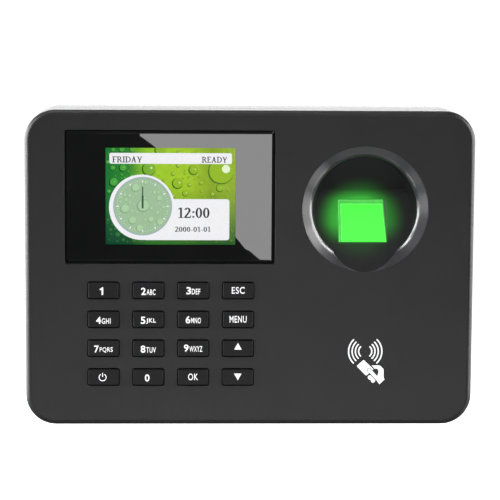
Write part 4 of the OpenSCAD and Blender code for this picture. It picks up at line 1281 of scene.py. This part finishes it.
def soft_box(name, at, aim, w, h, watts):
    """A rectangular soft light aimed at a point."""
    lamp = bpy.data.lights.new(name, "AREA")
    lamp.shape = "RECTANGLE"
    lamp.size, lamp.size_y = w, h
    lamp.energy = watts
    made = bpy.data.objects.new(name, lamp)
    made.location = at
    made.rotation_euler = (Vector(aim) - Vector(at)).to_track_quat("-Z", "Y").to_euler()
    made.visible_camera = False
    scene.collection.objects.link(made)


soft_box("right_box", (0.95, -0.42, 0.35), (0, -0.03, 0.02), 0.25, 0.4, 5)
soft_box("right_low_box", (0.95, -0.4, -0.1), (0, -0.03, 0.02), 0.25, 0.4, 2.6)
soft_box("right_strip", (1.1, -0.22, 0.17), (0.045, -0.03, 0.02), 0.1, 0.8, 6)
soft_box("right_high_strip", (1.0, -0.4, 0.8), (0.045, -0.03, 0.02), 0.14, 0.4, 4.4)
soft_box("right_side_box", (1.1, 0.35, 0.1), (0, -0.03, 0.02), 0.9, 0.7, 10)
soft_box("left_strip", (-1.1, -0.38, 0.27), (0.045, -0.03, 0.02), 0.1, 0.8, 9)
soft_box("left_high_strip", (-1.0, -0.52, 0.8), (0.045, -0.03, 0.02), 0.14, 0.4, 6)
soft_box("left_wide_box", (-1.1, -0.22, 0.1), (0.0, -0.03, 0.02), 0.45, 0.8, 7.4)
soft_box("left_side_box", (-1.1, 0.35, 0.1), (0, -0.03, 0.02), 1.0, 0.8, 25)
soft_box("left_front_box", (-0.9, -0.64, -0.2), (0, -0.03, 0.02), 0.2, 0.35, 2)
soft_box("high_front_box", (-0.2, -0.25, 1.3), (0, -0.03, 0), 0.8, 0.3, 4.6)
soft_box("low_front_box", (0.02, -1.0, -0.36), (0, -0.03, -0.04), 0.8, 0.2, 1.95)
soft_box("low_ring_box", (0.04, -0.42, -1.0), (0.04, -0.03, 0.02), 1.3, 0.22, 1.7)
soft_box("low_right_box", (0.95, -0.38, -0.65), (0.045, -0.03, 0.02), 0.3, 0.4, 2.2)
soft_box("low_left_box", (-0.9, -0.55, -0.8), (0.045, -0.03, 0.02), 0.3, 0.4, 1.6)
soft_box("ramp_box", (0.1, -0.95, 0.5), (0.045, -0.03, 0.0), 0.4, 0.25, 1.1)
soft_box("back_box", (0, 1.2, 0.25), (0, 0, 0.02), 1.6, 0.5, 8)

# ---- Reflection card ---------------------------------------------------------------------
# A white card in front of the terminal that mirrors in the cover glass as a slanting pale
# patch. The camera doesn't see it, and it throws no soft light on the terminal.
card_y = -1.0
camera_at = Vector((-24.71, -816.08, 101.29)) * mm


def mirrored(x, z):
    """The place on the card that the camera sees in a point of the cover glass, given in mm."""
    t = (glass_low.y - card_y) / (glass_low.y - camera_at.y)
    return Vector((x * mm + t * (x * mm - camera_at.x), card_y,
                   z * mm + t * (z * mm - camera_at.z)))


mesh = bpy.data.meshes.new("reflection_card")
mesh.from_pydata([mirrored(-41.6, 52.6), mirrored(3.8, 1.7), mirrored(14, 1.7),
                  mirrored(14, 56), mirrored(-41.6, 56)], [], [(0, 1, 2, 3, 4)])
reflector = bpy.data.objects.new("reflection_card", mesh)
scene.collection.objects.link(reflector)
card_light, tree, shader, coords = material_nodes("card_light")
shader.inputs["Base Color"].default_value = (0, 0, 0, 1)
shader.inputs["Emission Color"].default_value = (1, 1, 1, 1)
shader.inputs["Emission Strength"].default_value = 6.5
mesh.materials.append(card_light)
reflector.visible_camera = False
reflector.visible_diffuse = False
reflector.visible_shadow = False

# ---- Camera ------------------------------------------------------------------------------
# A long lens a little above the terminal and to its left, turned by a third of a degree. It
# is aimed a little above the middle of the face, and sees the whole terminal.
aim = Vector((-0.05, -35.0, 7.28)) * mm
ahead = (aim - camera_at).normalized()
right = ahead.cross(Vector((0, 0, 1))).normalized()
up = right.cross(ahead)
roll = math.radians(0.33)
side = math.cos(roll) * right + math.sin(roll) * up
top = side.cross(ahead)
lens = bpy.data.cameras.new("camera")
lens.lens = 149.83
lens.sensor_width = 36
lens.clip_start = 0.05
camera = bpy.data.objects.new("camera", lens)
camera.matrix_world = Matrix.Translation(camera_at) @ Matrix(
    (side, top, -ahead)).transposed().to_4x4()
scene.collection.objects.link(camera)
scene.camera = camera
